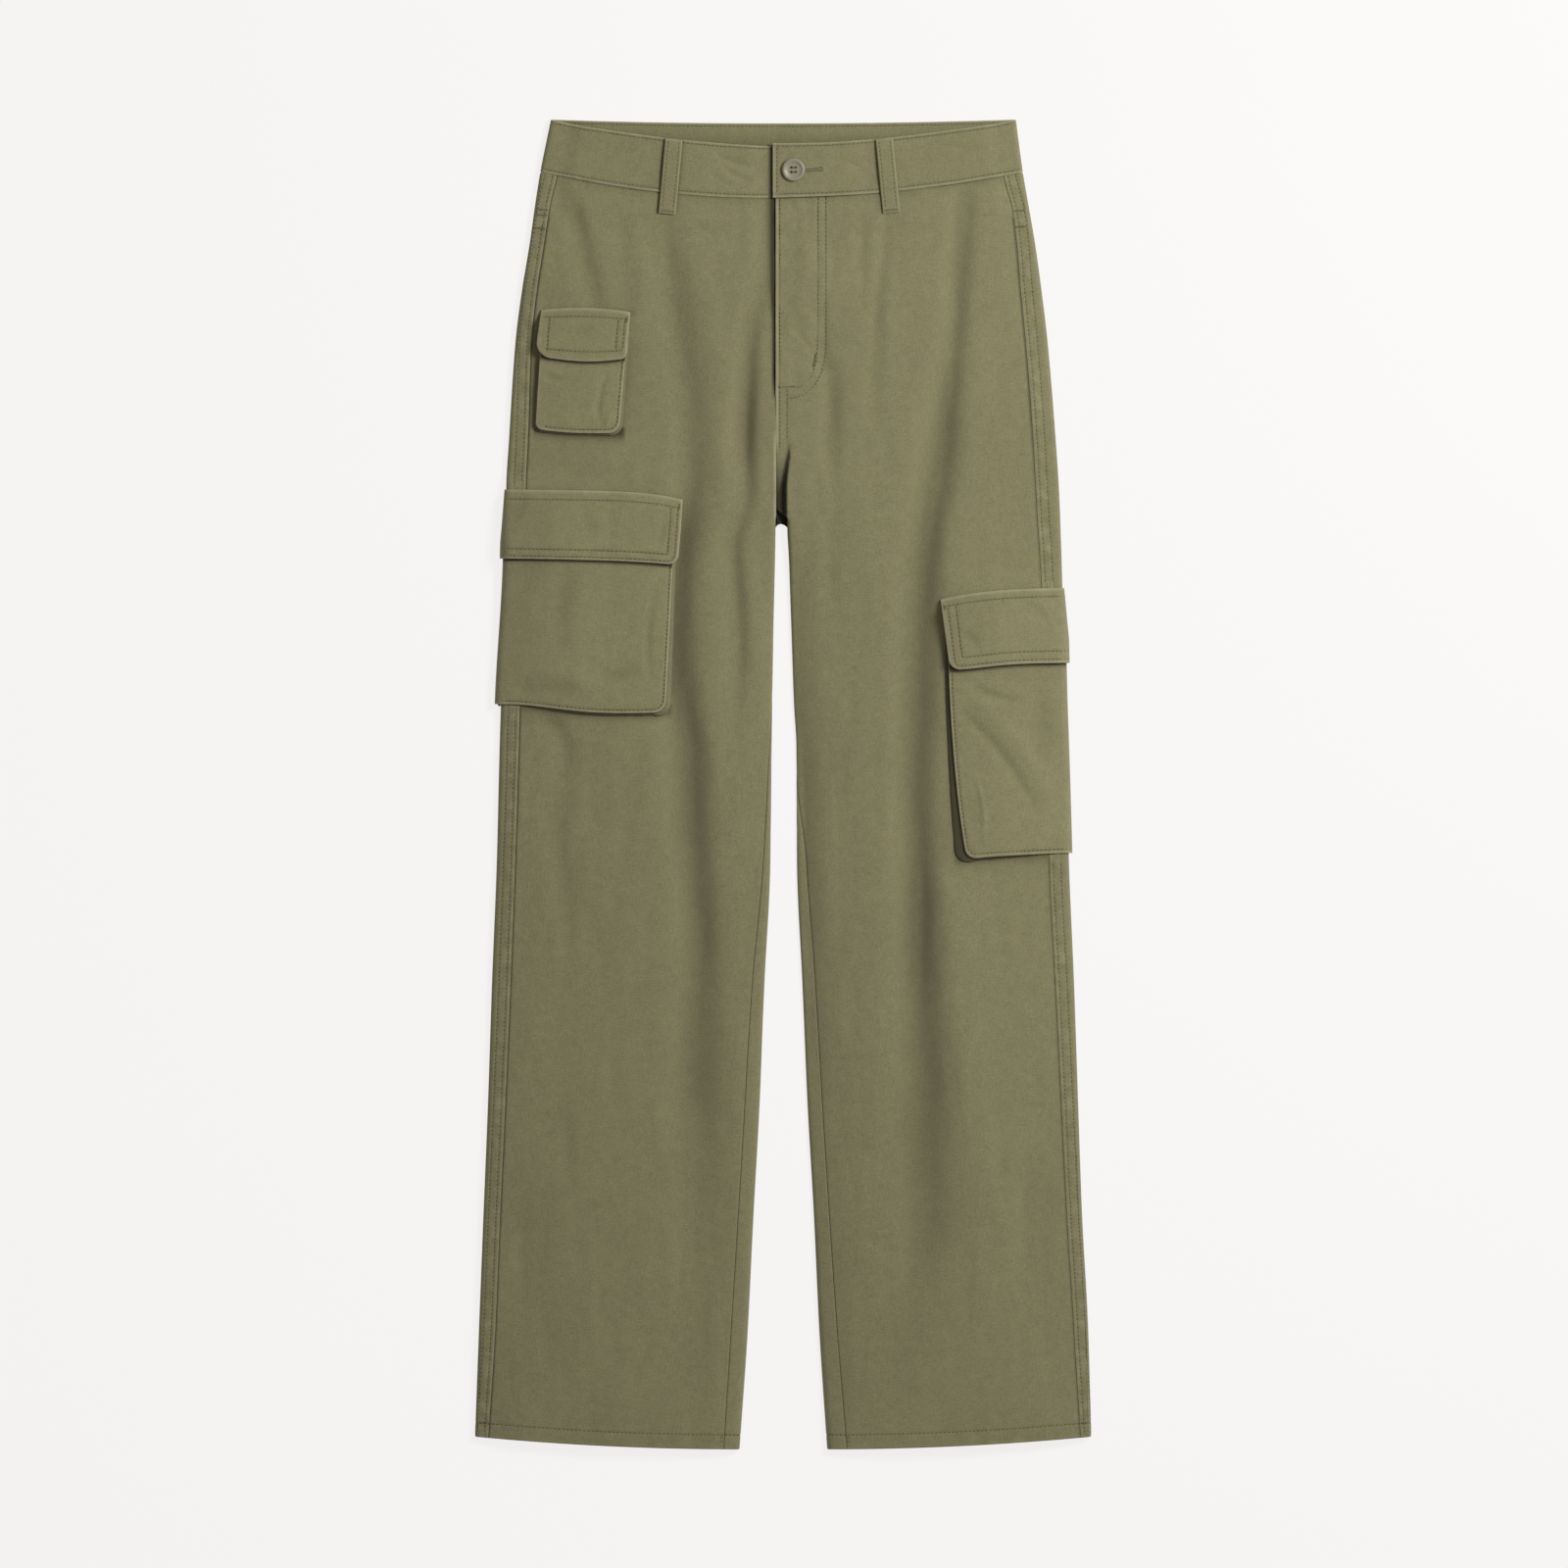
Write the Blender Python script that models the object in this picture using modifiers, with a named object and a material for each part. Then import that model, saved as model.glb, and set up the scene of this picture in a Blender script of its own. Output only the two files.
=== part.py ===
"""Cargo trousers laid flat on their back: front up, waist towards +Y, wearer's left at +X.

Every panel is one wall of cloth. It starts as a flat grid, is laid along the rounded section
of its leg and gets its wall from a Solidify. What is sewn on a panel is made from the same
surface, moved out.
"""

import bisect
import math
from collections import namedtuple

import bmesh
import bpy
import numpy as np
from mathutils import Vector

MM = 0.001

# All sizes are in millimetres. "Down" runs from the top of the waist at the sides to the hem
# and "out" from the centre line to a side. "Round" follows the surface of one side from its
# outer fold: positive over the top, negative underneath.
LENGTH = 1050.7
CLOTH = 1.2
SEAM_GAP = 0.3
INSEAM_GAP = 0.6
PATCH_GAP = 0.4  # under what lies on a panel
FOOT_GAP = 0.7  # under the foot of a pocket's side
LOFT = 6.2  # both layers of a leg, where they lie fullest
BAND_LOFT = 6.6
FOLD_REACH = 3.0  # how far in a rounded side fold reaches
FOLD_ARC = FOLD_REACH * math.pi / 2  # round length of a quarter of that fold
FOLD_SLACK = FOLD_ARC - FOLD_REACH
EDGE = 0.4  # of the last strip of a panel, which keeps its end square to the cloth

BAND_HEIGHT = 42.6
BAND_WALL = 2.4
BAND_LAP = 53.0  # of the right end under the left one, past the centre front
BAND_END = 1.6  # of the left end, past the centre front
WAIST_DIP = 21.0  # of the front of the waist, at its centre
WAIST_DIP_POWER = 2.1
BACK_DIP = 3.0
WAIST_DIP_END = 300.0  # how far down the dip is felt
CROTCH = 306.0
CROTCH_START = 258.0  # where the centre seams begin to sink between the legs

HEM_HEIGHT = 12.0
HEM_WALL = 2.4
HEM_RISE = 10.0  # of the hem at the outer folds
HEM_RISE_START = 800.0

FLY_END = 205.0
FLY_STEP = 1.6  # how far the right edge lies below the lapped left one
LAP_RISE = 1.4
ZIP_HALF = 11.0
ZIP_CENTRE = 5.8
ZIP_CHAIN = 1.0

LOOP_WIDTH = 13.6
LOOP_LENGTH = 58.5
LOOP_WALL = 1.6
BACK_LOOP_WALL = 1.2
LOOP_LIFT = BACK_LOOP_WALL + PATCH_GAP  # of the band, by the loops under it

BAG_WALL = 1.5
FLAP_WALL = 2.0
BAG_FLAT = PATCH_GAP + BAG_WALL  # a bag pressed flat, from the panel to its outer face
FLAP_FLAT = PATCH_GAP + FLAP_WALL
LIFT_RAMP = 14.0
LIFT_FADE = 45.0  # how far in the top is raised by what is under the fold
PUFF_REACH = 26.0  # from the fold to where a bag stands at its full height

BUTTON_WIDTH = 18.0
BUTTON_HEIGHT = 2.6
BUTTON_OUT = 8.1
BUTTON_DOWN = 40.0

SIDE_BAG_WALL = 1.0
SIDE_BAG_REACH = (14.0, 100.0)  # of the bags inside the side seams
SIDE_BAG_DOWN = (84.0, 215.0)

SIGN = {"right": -1, "left": 1}
OTHER = {"right": "left", "left": "right"}
CENTRE = {"right": 5.4, "left": -5.4}  # the centre seams, outward from the middle

# One side at a height: its outer fold, its side seam inward of that fold, its inner edge, and
# its inseam, which lies round the inner fold: on the front if positive, behind if negative.
Section = namedtuple("Section", "down outer side_seam inner inseam")
SECTIONS = {
    "right": (
        Section(0, 183.1, 12.8, 5.4, 0),
        Section(42.6, 190.9, 12.8, 5.4, 0),
        Section(99, 199.4, 11.0, 5.4, 0),
        Section(176.5, 211.0, 11.6, 5.4, 0),
        Section(254, 216.4, 14.7, 5.4, 0),
        Section(290, 218.0, 15.0, 5.4, 0),
        Section(CROTCH, 218.0, 14.6, 5.4, 0),
        Section(317.5, 218.2, 14.4, 5.8, -1),
        Section(345, 219.2, 14.2, 6.6, -3),
        Section(401, 220.8, 13.9, 8.1, -3),
        Section(494, 223.4, 13.9, 9.7, 3),
        Section(587, 225.7, 13.2, 10.5, 7.5),
        Section(680, 229.6, 13.9, 15.1, 10),
        Section(773, 232.7, 13.4, 19.0, 11.7),
        Section(866, 236.5, 13.9, 24.4, 12),
        Section(958.6, 240.2, 13.7, 28.5, 13),
        Section(LENGTH, 243.5, 10.8, 34.8, 12),
    ),
    "left": (
        Section(0, 184.7, 12.4, -5.4, 0),
        Section(42.6, 189.3, 12.4, -5.4, 0),
        Section(99, 199.4, 13.9, -5.4, 0),
        Section(176.5, 209.4, 17.8, -5.4, 0),
        Section(254, 215.6, 17.4, -5.4, 0),
        Section(290, 218.3, 17.3, -5.0, 0),
        Section(CROTCH, 219.1, 17.0, -4.7, 0),
        Section(317.5, 219.5, 16.6, 3.2, -1),
        Section(345, 220.3, 15.0, 5.0, -4),
        Section(401, 221.7, 14.5, 7.4, -5),
        Section(494, 223.7, 16.4, 11.2, -2),
        Section(587, 225.7, 18.2, 11.2, 9),
        Section(680, 229.6, 15.1, 15.1, 11.5),
        Section(773, 232.7, 13.2, 19.7, 12.5),
        Section(866, 235.8, 11.6, 25.2, 13),
        Section(958.6, 240.9, 10.6, 29.8, 15),
        Section(LENGTH, 243.5, 8.5, 35.2, 16.5),
    ),
}

# The long soft troughs in the front. Each runs through the points of its path.
Trough = namedtuple("Trough", "side depth width path")
Along = namedtuple("Along", "down out")
TROUGHS = (
    Trough("right", 2.0, 13, (Along(88, 88), Along(176, 68), Along(281, 65), Along(370, 79),
                              Along(548, 72), Along(680, 59), Along(800, 53), Along(975, 72))),
    Trough("right", 1.8, 12, (Along(138, 14), Along(273, 22), Along(325, 32), Along(405, 29),
                              Along(480, 36))),
    Trough("left", 2.0, 13, (Along(57, 156), Along(145, 146), Along(254, 129), Along(386, 111),
                             Along(626, 117), Along(877, 119), Along(960, 105))),
    Trough("left", 1.4, 11, (Along(88, 75), Along(200, 84), Along(312, 46))),
)
TROUGH_FADE = 70.0  # at both ends of a trough

# A pocket on the outside. Near is its edge towards the centre front and far its other edge,
# both inward from the outer fold; a negative far edge lies underneath. The tilts are how much
# lower the near edge sits at the flap's seam, the flap's lower edge and the bag's bottom. Side
# puff is how far the bag stands out at the outer fold, at its bottom.
Pocket = namedtuple(
    "Pocket",
    "side flap_top flap_bottom bag_bottom flap_near flap_near_low bag_near bag_near_low far tilts puff "
    "side_puff",
)
POCKETS = {
    "hip_pocket": Pocket(
        "right", 149.5, 188.5, 244.5, 88.5, 88.5, 86.0, 85.0, 18.5, (-4, -3, -1.5), 4.4, 0,
    ),
    "thigh_pocket_right": Pocket(
        "right", 292, 347.6, 461.5, 139.5, 136.0, 134.5, 127.0, -35, (7, 4.5, 7), 5, 3,
    ),
    "thigh_pocket_left": Pocket(
        "left", 369.6, 429.5, 579, 96.5, 90.5, 90.5, 82.0, -50, (9, 5.5, 4), 5, 1,
    ),
}
BAG_DROP = 16.0  # of a bag's open top below the seam of its flap
FLAP_CORNER = 8.0
BAG_CORNER = 9.0
BACK_LOOP_OUT = 95.0
FRONT_LOOP_OUT = {"right": (86.3, 91.8), "left": (79.8, 85.6)}  # at its top and at its foot

OLIVE = (0.195, 0.187, 0.102)
OLIVE_PALE = (0.222, 0.212, 0.122)
OLIVE_DEEP = (0.165, 0.158, 0.083)
HORN = (0.145, 0.135, 0.095)
TAPE = (0.120, 0.115, 0.065)
CLOTH_ROUGHNESS = 0.92
HORN_ROUGHNESS = 0.45


def ramp(value, start, end):
    """An eased step from 0 at start to 1 at end, which may be the lower of the two."""
    share = min(max((value - start) / (end - start), 0.0), 1.0)
    return share * share * (3 - 2 * share)


def eased(rows, column, down):
    """One column of a table at a distance down, without overshoot between its rows."""
    downs = [row.down for row in rows]
    values = [getattr(row, column) for row in rows]
    down = min(max(down, downs[0]), downs[-1])
    i = min(bisect.bisect_right(downs, down), len(rows) - 1) - 1
    slopes = np.diff(values) / np.diff(downs)

    def tangent(j):
        if j in (0, len(slopes)):
            return slopes[min(j, len(slopes) - 1)]
        before, after = slopes[j - 1], slopes[j]
        return 2 * before * after / (before + after) if before * after > 0 else 0.0

    step = downs[i + 1] - downs[i]
    t = (down - downs[i]) / step
    return (
        (1 + 2 * t) * (1 - t) ** 2 * values[i]
        + t * t * (3 - 2 * t) * values[i + 1]
        + step * t * (1 - t) * ((1 - t) * tangent(i) - t * tangent(i + 1))
    )


def at(side, column, down):
    return eased(SECTIONS[side], column, down)


def bag_top(pocket):
    return pocket.flap_top + BAG_DROP


def lift_steps(pocket):
    """Down and height of the bends in what a wrapped pocket puts under the back."""
    both = BAG_FLAT + FLAP_FLAT
    return (
        (pocket.flap_top - 1 - LIFT_RAMP, 0.0),
        (pocket.flap_top - 1, FLAP_FLAT),
        (bag_top(pocket) - 5, both),
        (pocket.flap_bottom + 1, both),
        (pocket.flap_bottom + 1 + LIFT_RAMP, BAG_FLAT),
        (pocket.bag_bottom + 3, BAG_FLAT),
        (pocket.bag_bottom + 3 + LIFT_RAMP, 0.0),
    )


def lift(side, out, down, fade):
    """How far the cloth is held up by the pockets and belt loops that lie under it."""
    reach = at(side, "outer", down) - out
    highest = LOOP_LIFT * ramp(reach, 14, 28) * ramp(down, 80, 60)
    for pocket in POCKETS.values():
        if pocket.side == side and pocket.far < 0:
            downs, heights = zip(*lift_steps(pocket))
            share = 1 - min(max((reach + pocket.far - 1) / fade, 0.0), 1.0)
            highest = max(highest, float(np.interp(down, downs, heights)) * share)
    return highest


def trough_depth(trough, out, down):
    start, end = trough.path[0].down, trough.path[-1].down
    shown = ramp(down, start, start + TROUGH_FADE) * ramp(down, end, end - TROUGH_FADE)
    across = (out - eased(trough.path, "out", down)) / trough.width
    return trough.depth * shown * math.exp(-across * across)


def lap_height(side, out, down):
    """What the lapped ends of the band and the fly edge add to the top or take from it."""
    inward = out - CENTRE[side]
    if down < BAND_HEIGHT:
        if side == "left":
            return LAP_RISE * ramp(inward, BAND_LAP + 20, BAND_LAP + 2)
        return -LAP_RISE * ramp(inward, 22, 8)
    if side == "left":
        return 0.0
    return -FLY_STEP * ramp(inward, 22, 6) * ramp(down, FLY_END + 40, FLY_END)


def top_height(side, out, down):
    height = BAND_LOFT if down < BAND_HEIGHT else LOFT
    height += lift(side, out, down, LIFT_FADE) + lap_height(side, out, down)
    for trough in TROUGHS:
        if trough.side == side:
            height -= trough_depth(trough, out, down)
    return height


def bottom_height(side, out, down):
    return lift(side, out, down, LIFT_RAMP)


def settled(side, out, down, top):
    """The real distance down of a point: the waist dips at its centre and the hem slopes."""
    outer, inner = at(side, "outer", down), at(side, "inner", down)
    share = min(max((outer - out) / (outer - inner), 0.0), 1.0)
    dip = WAIST_DIP if top else BACK_DIP
    dip *= (1 - (1 - share) ** WAIST_DIP_POWER) * max(0.0, 1 - max(down, 0) / WAIST_DIP_END)
    return down + dip - HEM_RISE * (1 - share) ** 2 * ramp(down, HEM_RISE_START, LENGTH)


def placed(side, out, down, height, top=True):
    """A world point from a place on one side."""
    along = LENGTH / 2 - settled(side, out, down, top)
    return Vector((SIGN[side] * out, along, height)) * MM


def parting(down):
    """From 0 where the two sides lie joined to 1 where the legs have parted."""
    return ramp(down, CROTCH_START, CROTCH)


def girth(side, down):
    """Round length of the top of one side, from its outer fold to its inner edge."""
    width = at(side, "outer", down) - at(side, "inner", down)
    return width + FOLD_SLACK * (1 + parting(down))


def fold_arc(away):
    """How far in a point lies, and its share of the full height, this far round from a fold."""
    turn = min(away / FOLD_ARC, 1.0) * math.pi / 2
    return FOLD_REACH * (1 - math.cos(turn)) + max(away - FOLD_ARC, 0.0), math.sin(turn)


def skin(side, around, down):
    """A point of the outer face of the cloth."""
    whole = girth(side, down)
    outer, inner = at(side, "outer", down), at(side, "inner", down)
    part = parting(down)
    if around > whole and part == 0:  # the band's lapped end, past the centre front
        out = inner - (around - whole)
        return placed(OTHER[side], -out, down, top_height(side, out, down))
    away = abs(around)
    top = around >= 0
    if away > whole:
        away = 2 * whole - away
        top = not top
    reach, fullness = fold_arc(away)
    out = outer - reach
    if away > whole / 2:
        reach, rise = fold_arc(whole - away)
        out = inner + (1 - part) * (whole - away) + part * reach
        fullness = 1 - part + part * rise
    high, low = top_height(side, out, down), bottom_height(side, out, down)
    middle = (high + low) / 2
    half = fullness * (high - low) / 2
    return placed(side, out, down, middle + half if top else middle - half, top)


def outside(side, around, down, height):
    """A point this high above the outer face."""
    step = 0.05
    across = skin(side, around + step, down) - skin(side, around - step, down)
    along = skin(side, around, down + step) - skin(side, around, down - step)
    normal = across.cross(along).normalized() * SIGN[side]
    return skin(side, around, down) + normal * height * MM


def material(name, colour, roughness):
    made = bpy.data.materials.new(name)
    made.use_nodes = True
    shader = made.node_tree.nodes["Principled BSDF"]
    shader.inputs["Base Color"].default_value = (*colour, 1.0)
    shader.inputs["Roughness"].default_value = roughness
    shader.inputs["Metallic"].default_value = 0.0
    return made


def shell(name, points, wall, colour, facing, thin_rows=0, thin=1.0):
    """A wall of cloth whose outer face runs through rows of points.

    Facing is a direction that the outer face's first corner looks towards. The first
    thin_rows rows keep only the share thin of the wall.
    """
    rows, columns = len(points), len(points[0])
    grid = bmesh.new()
    bmesh.ops.create_grid(grid, x_segments=columns - 1, y_segments=rows - 1, size=1)
    grid.verts.ensure_lookup_table()
    weights = []
    for vertex in grid.verts:
        column = round((vertex.co.x + 1) / 2 * (columns - 1))
        row = round((vertex.co.y + 1) / 2 * (rows - 1))
        vertex.co = points[row][column]
        weights.append(thin if row < thin_rows else 1.0)
    corner = min(grid.faces, key=lambda face: (face.calc_center_median() - points[0][0]).length)
    corner.normal_update()
    if corner.normal.dot(Vector(facing)) < 0:
        bmesh.ops.reverse_faces(grid, faces=grid.faces)
    mesh = bpy.data.meshes.new(name)
    grid.to_mesh(mesh)
    grid.free()
    mesh.shade_smooth()
    made = bpy.data.objects.new(name, mesh)
    parts.objects.link(made)
    mesh.materials.append(material(name + "_cloth", colour, CLOTH_ROUGHNESS))
    solidify = made.modifiers.new("wall", "SOLIDIFY")
    solidify.thickness = wall * MM
    solidify.offset = -1
    solidify.use_even_offset = True
    if thin_rows:
        group = made.vertex_groups.new(name="wall")
        for index, weight in enumerate(weights):
            group.add([index], weight, "REPLACE")
        solidify.vertex_group = group.name
    return made


def spread(start, end, count):
    """Count values from start up to but not including end."""
    return [start + (end - start) * i / count for i in range(count)]


def panel_rows(side):
    """Distances down at which a panel has a row, closer where it bends."""
    fixed = [BAND_HEIGHT + SEAM_GAP, 60, 80, CROTCH, 312, 318]
    fixed += [LENGTH - HEM_HEIGHT - 2, LENGTH - HEM_HEIGHT, LENGTH]
    for pocket in POCKETS.values():
        if pocket.side == side and pocket.far < 0:
            fixed += [down for down, _ in lift_steps(pocket)]
    even = [105, 145, 185, 222, CROTCH_START, 282, 294, 334, 404, 452] + spread(375, LENGTH - HEM_HEIGHT, 12)
    kept = [down for down in even if min(abs(down - other) for other in fixed) > 9]
    rows = sorted(fixed + kept)
    return [rows[0]] + [b for a, b in zip(rows, rows[1:]) if b - a > 1]


def inner_gap(down):
    """The gap at the centre seams and, a little wider round the fold, at the inseam."""
    return SEAM_GAP + (INSEAM_GAP - SEAM_GAP) * ramp(down, CROTCH_START, CROTCH)


def front_columns(side, down):
    start = at(side, "side_seam", down) + FOLD_SLACK + SEAM_GAP / 2
    end = girth(side, down) - at(side, "inseam", down) - inner_gap(down) / 2
    bend = min(girth(side, down) - FOLD_ARC, end - 3)
    return spread(start, bend, 10) + spread(bend, end - EDGE, 4) + [end - EDGE, end]


def back_columns(side, down):
    wrap = max(-pocket.far for pocket in POCKETS.values() if pocket.side == side) + 1
    start = at(side, "side_seam", down) + FOLD_SLACK - SEAM_GAP / 2
    whole = girth(side, down)
    end = whole + at(side, "inseam", down) - inner_gap(down) / 2
    bend = min(whole - FOLD_ARC, end - 3)
    turned = min(max(whole + FOLD_ARC, bend + 1.5), end - 2 * EDGE)
    columns = spread(start, FOLD_ARC, 2) + spread(FOLD_ARC, -FOLD_ARC, 6)
    columns += spread(-FOLD_ARC, -wrap, 3) + [-wrap]
    columns += spread(-wrap - LIFT_RAMP, -bend, 3) + spread(-bend, -turned, 5)
    return columns + spread(-turned, EDGE - end, 2) + [EDGE - end, -end]


def panel(name, side, columns, facing):
    downs = panel_rows(side)
    points = [[skin(side, around, down) for around in columns(side, down)] for down in downs]
    return shell(name, points, HEM_WALL, OLIVE, facing, len(downs) - 2, CLOTH / HEM_WALL)


def make_panels():
    for side in SIGN:
        panel("front_leg_" + side, side, front_columns, (0, 0, 1))
        panel("back_leg_" + side, side, back_columns, (0, 0, 1))


def band_columns(side, down):
    whole = girth(side, down)
    end = whole + (BAND_LAP if side == "right" else BAND_END)
    columns = spread(end, whole - BAND_LAP - 20, 9) + spread(whole - BAND_LAP - 20, FOLD_ARC, 4)
    columns += spread(FOLD_ARC, -FOLD_ARC, 6) + spread(-FOLD_ARC, -28, 3)
    return columns + spread(-28, SEAM_GAP / 2 - whole, 6) + [SEAM_GAP / 2 - whole]


def make_waistband():
    for side in SIGN:
        downs = (0.0, BAND_HEIGHT / 3, BAND_HEIGHT * 2 / 3, BAND_HEIGHT - 0.01)
        points = [[skin(side, around, down) for around in band_columns(side, down)] for down in downs]
        shell("waistband_" + side, points, BAND_WALL, OLIVE_PALE, (0, 0, 1))


def make_front_loops():
    for side, (top_out, foot_out) in FRONT_LOOP_OUT.items():
        points = []
        for down in (0.6, 3.0, 12.0, 28.0, 41.0, 45.0, 50.0, LOOP_LENGTH):
            share = down / LOOP_LENGTH
            middle = top_out + (foot_out - top_out) * share
            under = [top_height(side, middle + a, d) for a in (-8, 0, 8) for d in (down, down + 3)]
            arch = 1.2 * math.sin(math.pi * min(down / 45, 1.0))
            height = max(under) + PATCH_GAP + LOOP_WALL + arch
            points.append([
                placed(side, middle + across * LOOP_WIDTH / 2, down, height) for across in (-1, 0, 1)
            ])
        shell("belt_loop_front_" + side, points, LOOP_WALL, OLIVE_PALE, (0, 0, 1))


def make_back_loops():
    places = {"right": -BACK_LOOP_OUT, "center": -CENTRE["right"], "left": BACK_LOOP_OUT}
    for name, middle in places.items():
        side = "left" if name == "left" else "right"
        points = []
        for down in (1.0, 14.0, 28.0, 43.0, LOOP_LENGTH):
            along = placed(side, middle * SIGN[side], down, 0, top=False).y
            points.append([
                Vector(((middle + across * LOOP_WIDTH / 2) * MM, along, 0)) for across in (-1, 0, 1)
            ])
        shell("belt_loop_back_" + name, points, BACK_LOOP_WALL, OLIVE_PALE, (0, 0, -1))


def make_button():
    radius = BUTTON_WIDTH / 2
    profile = ((0, 0.9), (0.62, 0.9), (0.72, 1.0), (0.9, 1.0), (1.0, 0.7), (1.0, 0.3), (0.85, 0), (0, 0))
    mesh = bpy.data.meshes.new("waist_button")
    drawn = bmesh.new()
    verts = [drawn.verts.new((r * radius * MM, 0, z * BUTTON_HEIGHT * MM)) for r, z in profile]
    for first, second in zip(verts, verts[1:]):
        drawn.edges.new((first, second))
    drawn.to_mesh(mesh)
    drawn.free()
    made = bpy.data.objects.new("waist_button", mesh)
    parts.objects.link(made)
    mesh.materials.append(material("waist_button_horn", HORN, HORN_ROUGHNESS))
    turned = made.modifiers.new("turned", "SCREW")
    turned.steps = turned.render_steps = 24
    turned.use_merge_vertices = True
    turned.merge_threshold = 0.00001
    down = BUTTON_DOWN - WAIST_DIP * (1 - BUTTON_DOWN / WAIST_DIP_END)
    seat = top_height("left", BUTTON_OUT, down) + SEAM_GAP
    made.location = Vector((BUTTON_OUT, LENGTH / 2 - BUTTON_DOWN, seat)) * MM


def make_side_pocket_bags():
    for side in SIGN:
        points = []
        for down in spread(*SIDE_BAG_DOWN, 5) + [SIDE_BAG_DOWN[1]]:
            row = []
            for reach in spread(*SIDE_BAG_REACH, 5) + [SIDE_BAG_REACH[1]]:
                out = at(side, "outer", down) - reach
                height = bottom_height(side, out, down) + CLOTH + SEAM_GAP + SIDE_BAG_WALL
                row.append(placed(side, out, down, height, top=False))
            points.append(row)
        shell("side_pocket_bag_" + side, points, SIDE_BAG_WALL, OLIVE_DEEP, (0, 0, 1))


def make_zip():
    chain = (0.27, 0.31, 0.69, 0.73)  # shares of the tape's width where the chain stands up
    points = []
    for down in spread(BAND_HEIGHT + 1, FLY_END, 6) + [FLY_END]:
        row = []
        for share in (0.0,) + chain + (1.0,):
            out = ZIP_CENTRE + (2 * share - 1) * ZIP_HALF
            height = bottom_height("left", out, down) + 2 * CLOTH + SEAM_GAP
            if chain[1] <= share <= chain[2]:
                height += ZIP_CHAIN
            row.append(placed("left", out, down, height))
        points.append(row)
    shell("fly_zip", points, CLOTH, TAPE, (0, 0, 1))


Column = namedtuple("Column", "share shift corner foot")


def pocket_columns(pocket, radius, gusset):
    """Places across a pocket, from its near edge: a share of the way from its base to that
    edge, a shift, how far inside a rounded corner they lie, and whether they are a foot."""
    corner = [radius * (1 - math.sin(math.radians(turn))) for turn in (90, 60, 30, 0)]
    columns = [Column(1, 0, 0, True)] if gusset else []
    columns += [Column(1, -inside, inside, False) for inside in corner]
    columns += [Column(share, 0, radius, False) for share in (0.78, 0.58, 0.4, 0.26)]
    if pocket.far < 0:
        columns += [Column(0, -around, radius, False) for around in spread(0, 2 * FOLD_ARC, 6)]
        under = 2 * FOLD_ARC + np.linspace(0, -pocket.far - FOLD_ARC, 4)
        return columns + [Column(0, -float(around), radius, False) for around in under]
    columns += [Column(0, inside, inside, False) for inside in reversed(corner)]
    return columns + ([Column(0, 0, 0, True)] if gusset else [])


def pocket_shell(name, pocket, rows, near, radius, heights, wall, gusset):
    """A flap or a bag. Heights gives its outer face above the panel from a place and a row."""
    base = FOLD_ARC if pocket.far < 0 else pocket.far + FOLD_SLACK
    top, bottom = rows[0], rows[-1]
    points = []
    for row in rows + ([None] if gusset else []):
        line = []
        for column in pocket_columns(pocket, radius, gusset):
            inside = radius - min(column.corner, radius)
            drop = radius - math.sqrt(radius * radius - inside * inside)
            down = top + ((bottom if row is None else row) - top) * (bottom - drop - top) / (bottom - top)
            edge = near[0] + (near[1] - near[0]) * (down - top) / (bottom - top) + FOLD_SLACK
            around = base + column.share * (edge - base) + column.shift
            height = heights(around, down)
            puff = min(max((height - BAG_FLAT) / (pocket.puff - BAG_FLAT), 0.0), 1.0)
            spill = 0.6 * puff + 2.0 * (1 - puff)
            if column.foot or row is None:
                height = FOOT_GAP * puff + BAG_FLAT * (1 - puff)
            if column.foot:
                around += spill if column.share else -spill
            if row is None:
                down += spill
            stations = (pocket.flap_top, pocket.flap_bottom, pocket.bag_bottom)
            tilt = np.interp(down, stations, pocket.tilts)
            down += float(tilt) * min(max((around - base) / (edge - base), 0.0), 1.0)
            line.append(outside(pocket.side, around, down, height))
        points.append(line)
    return shell(name, points, wall, OLIVE_PALE, (0, 0, 1))


def make_pockets():
    for name, pocket in POCKETS.items():
        def bag_height(around, down, pocket=pocket):
            if pocket.far >= 0:
                return pocket.puff
            full = ramp(around, FOLD_ARC, FOLD_ARC + PUFF_REACH)
            stands_out = pocket.side_puff * ramp(down, pocket.flap_bottom, pocket.bag_bottom)
            stands_out *= ramp(abs(around), FOLD_ARC, 0)
            return BAG_FLAT + (pocket.puff - BAG_FLAT) * full + stands_out

        def flap_height(around, down, pocket=pocket):
            over = min(max((down - pocket.flap_top) / (BAG_DROP - 5), 0.0), 1.0)
            return FLAP_FLAT + over * bag_height(around, down)

        top, lip, bottom = pocket.flap_top, bag_top(pocket), pocket.flap_bottom
        below = bottom + 1 + LIFT_RAMP
        flap_rows = [top, top + (BAG_DROP - 5) / 2, lip - 5, (lip + bottom) / 2, bottom - FLAP_CORNER, bottom]
        bag_rows = [lip, bottom + 1, below] + spread(below, pocket.bag_bottom - BAG_CORNER, 3)[1:]
        bag_rows += [pocket.bag_bottom - BAG_CORNER, pocket.bag_bottom]
        near = (pocket.flap_near, pocket.flap_near_low)
        pocket_shell(name + "_flap", pocket, flap_rows, near, FLAP_CORNER, flap_height, FLAP_WALL, False)
        near = (pocket.bag_near, pocket.bag_near_low)
        pocket_shell(name + "_bag", pocket, bag_rows, near, BAG_CORNER, bag_height, BAG_WALL, True)


for old in list(bpy.data.objects):
    bpy.data.objects.remove(old, do_unlink=True)
parts = bpy.data.collections.new("cargo_trousers")
bpy.context.scene.collection.children.link(parts)
make_panels()
make_waistband()
make_front_loops()
make_back_loops()
make_button()
make_zip()
make_side_pocket_bags()
make_pockets()
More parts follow.
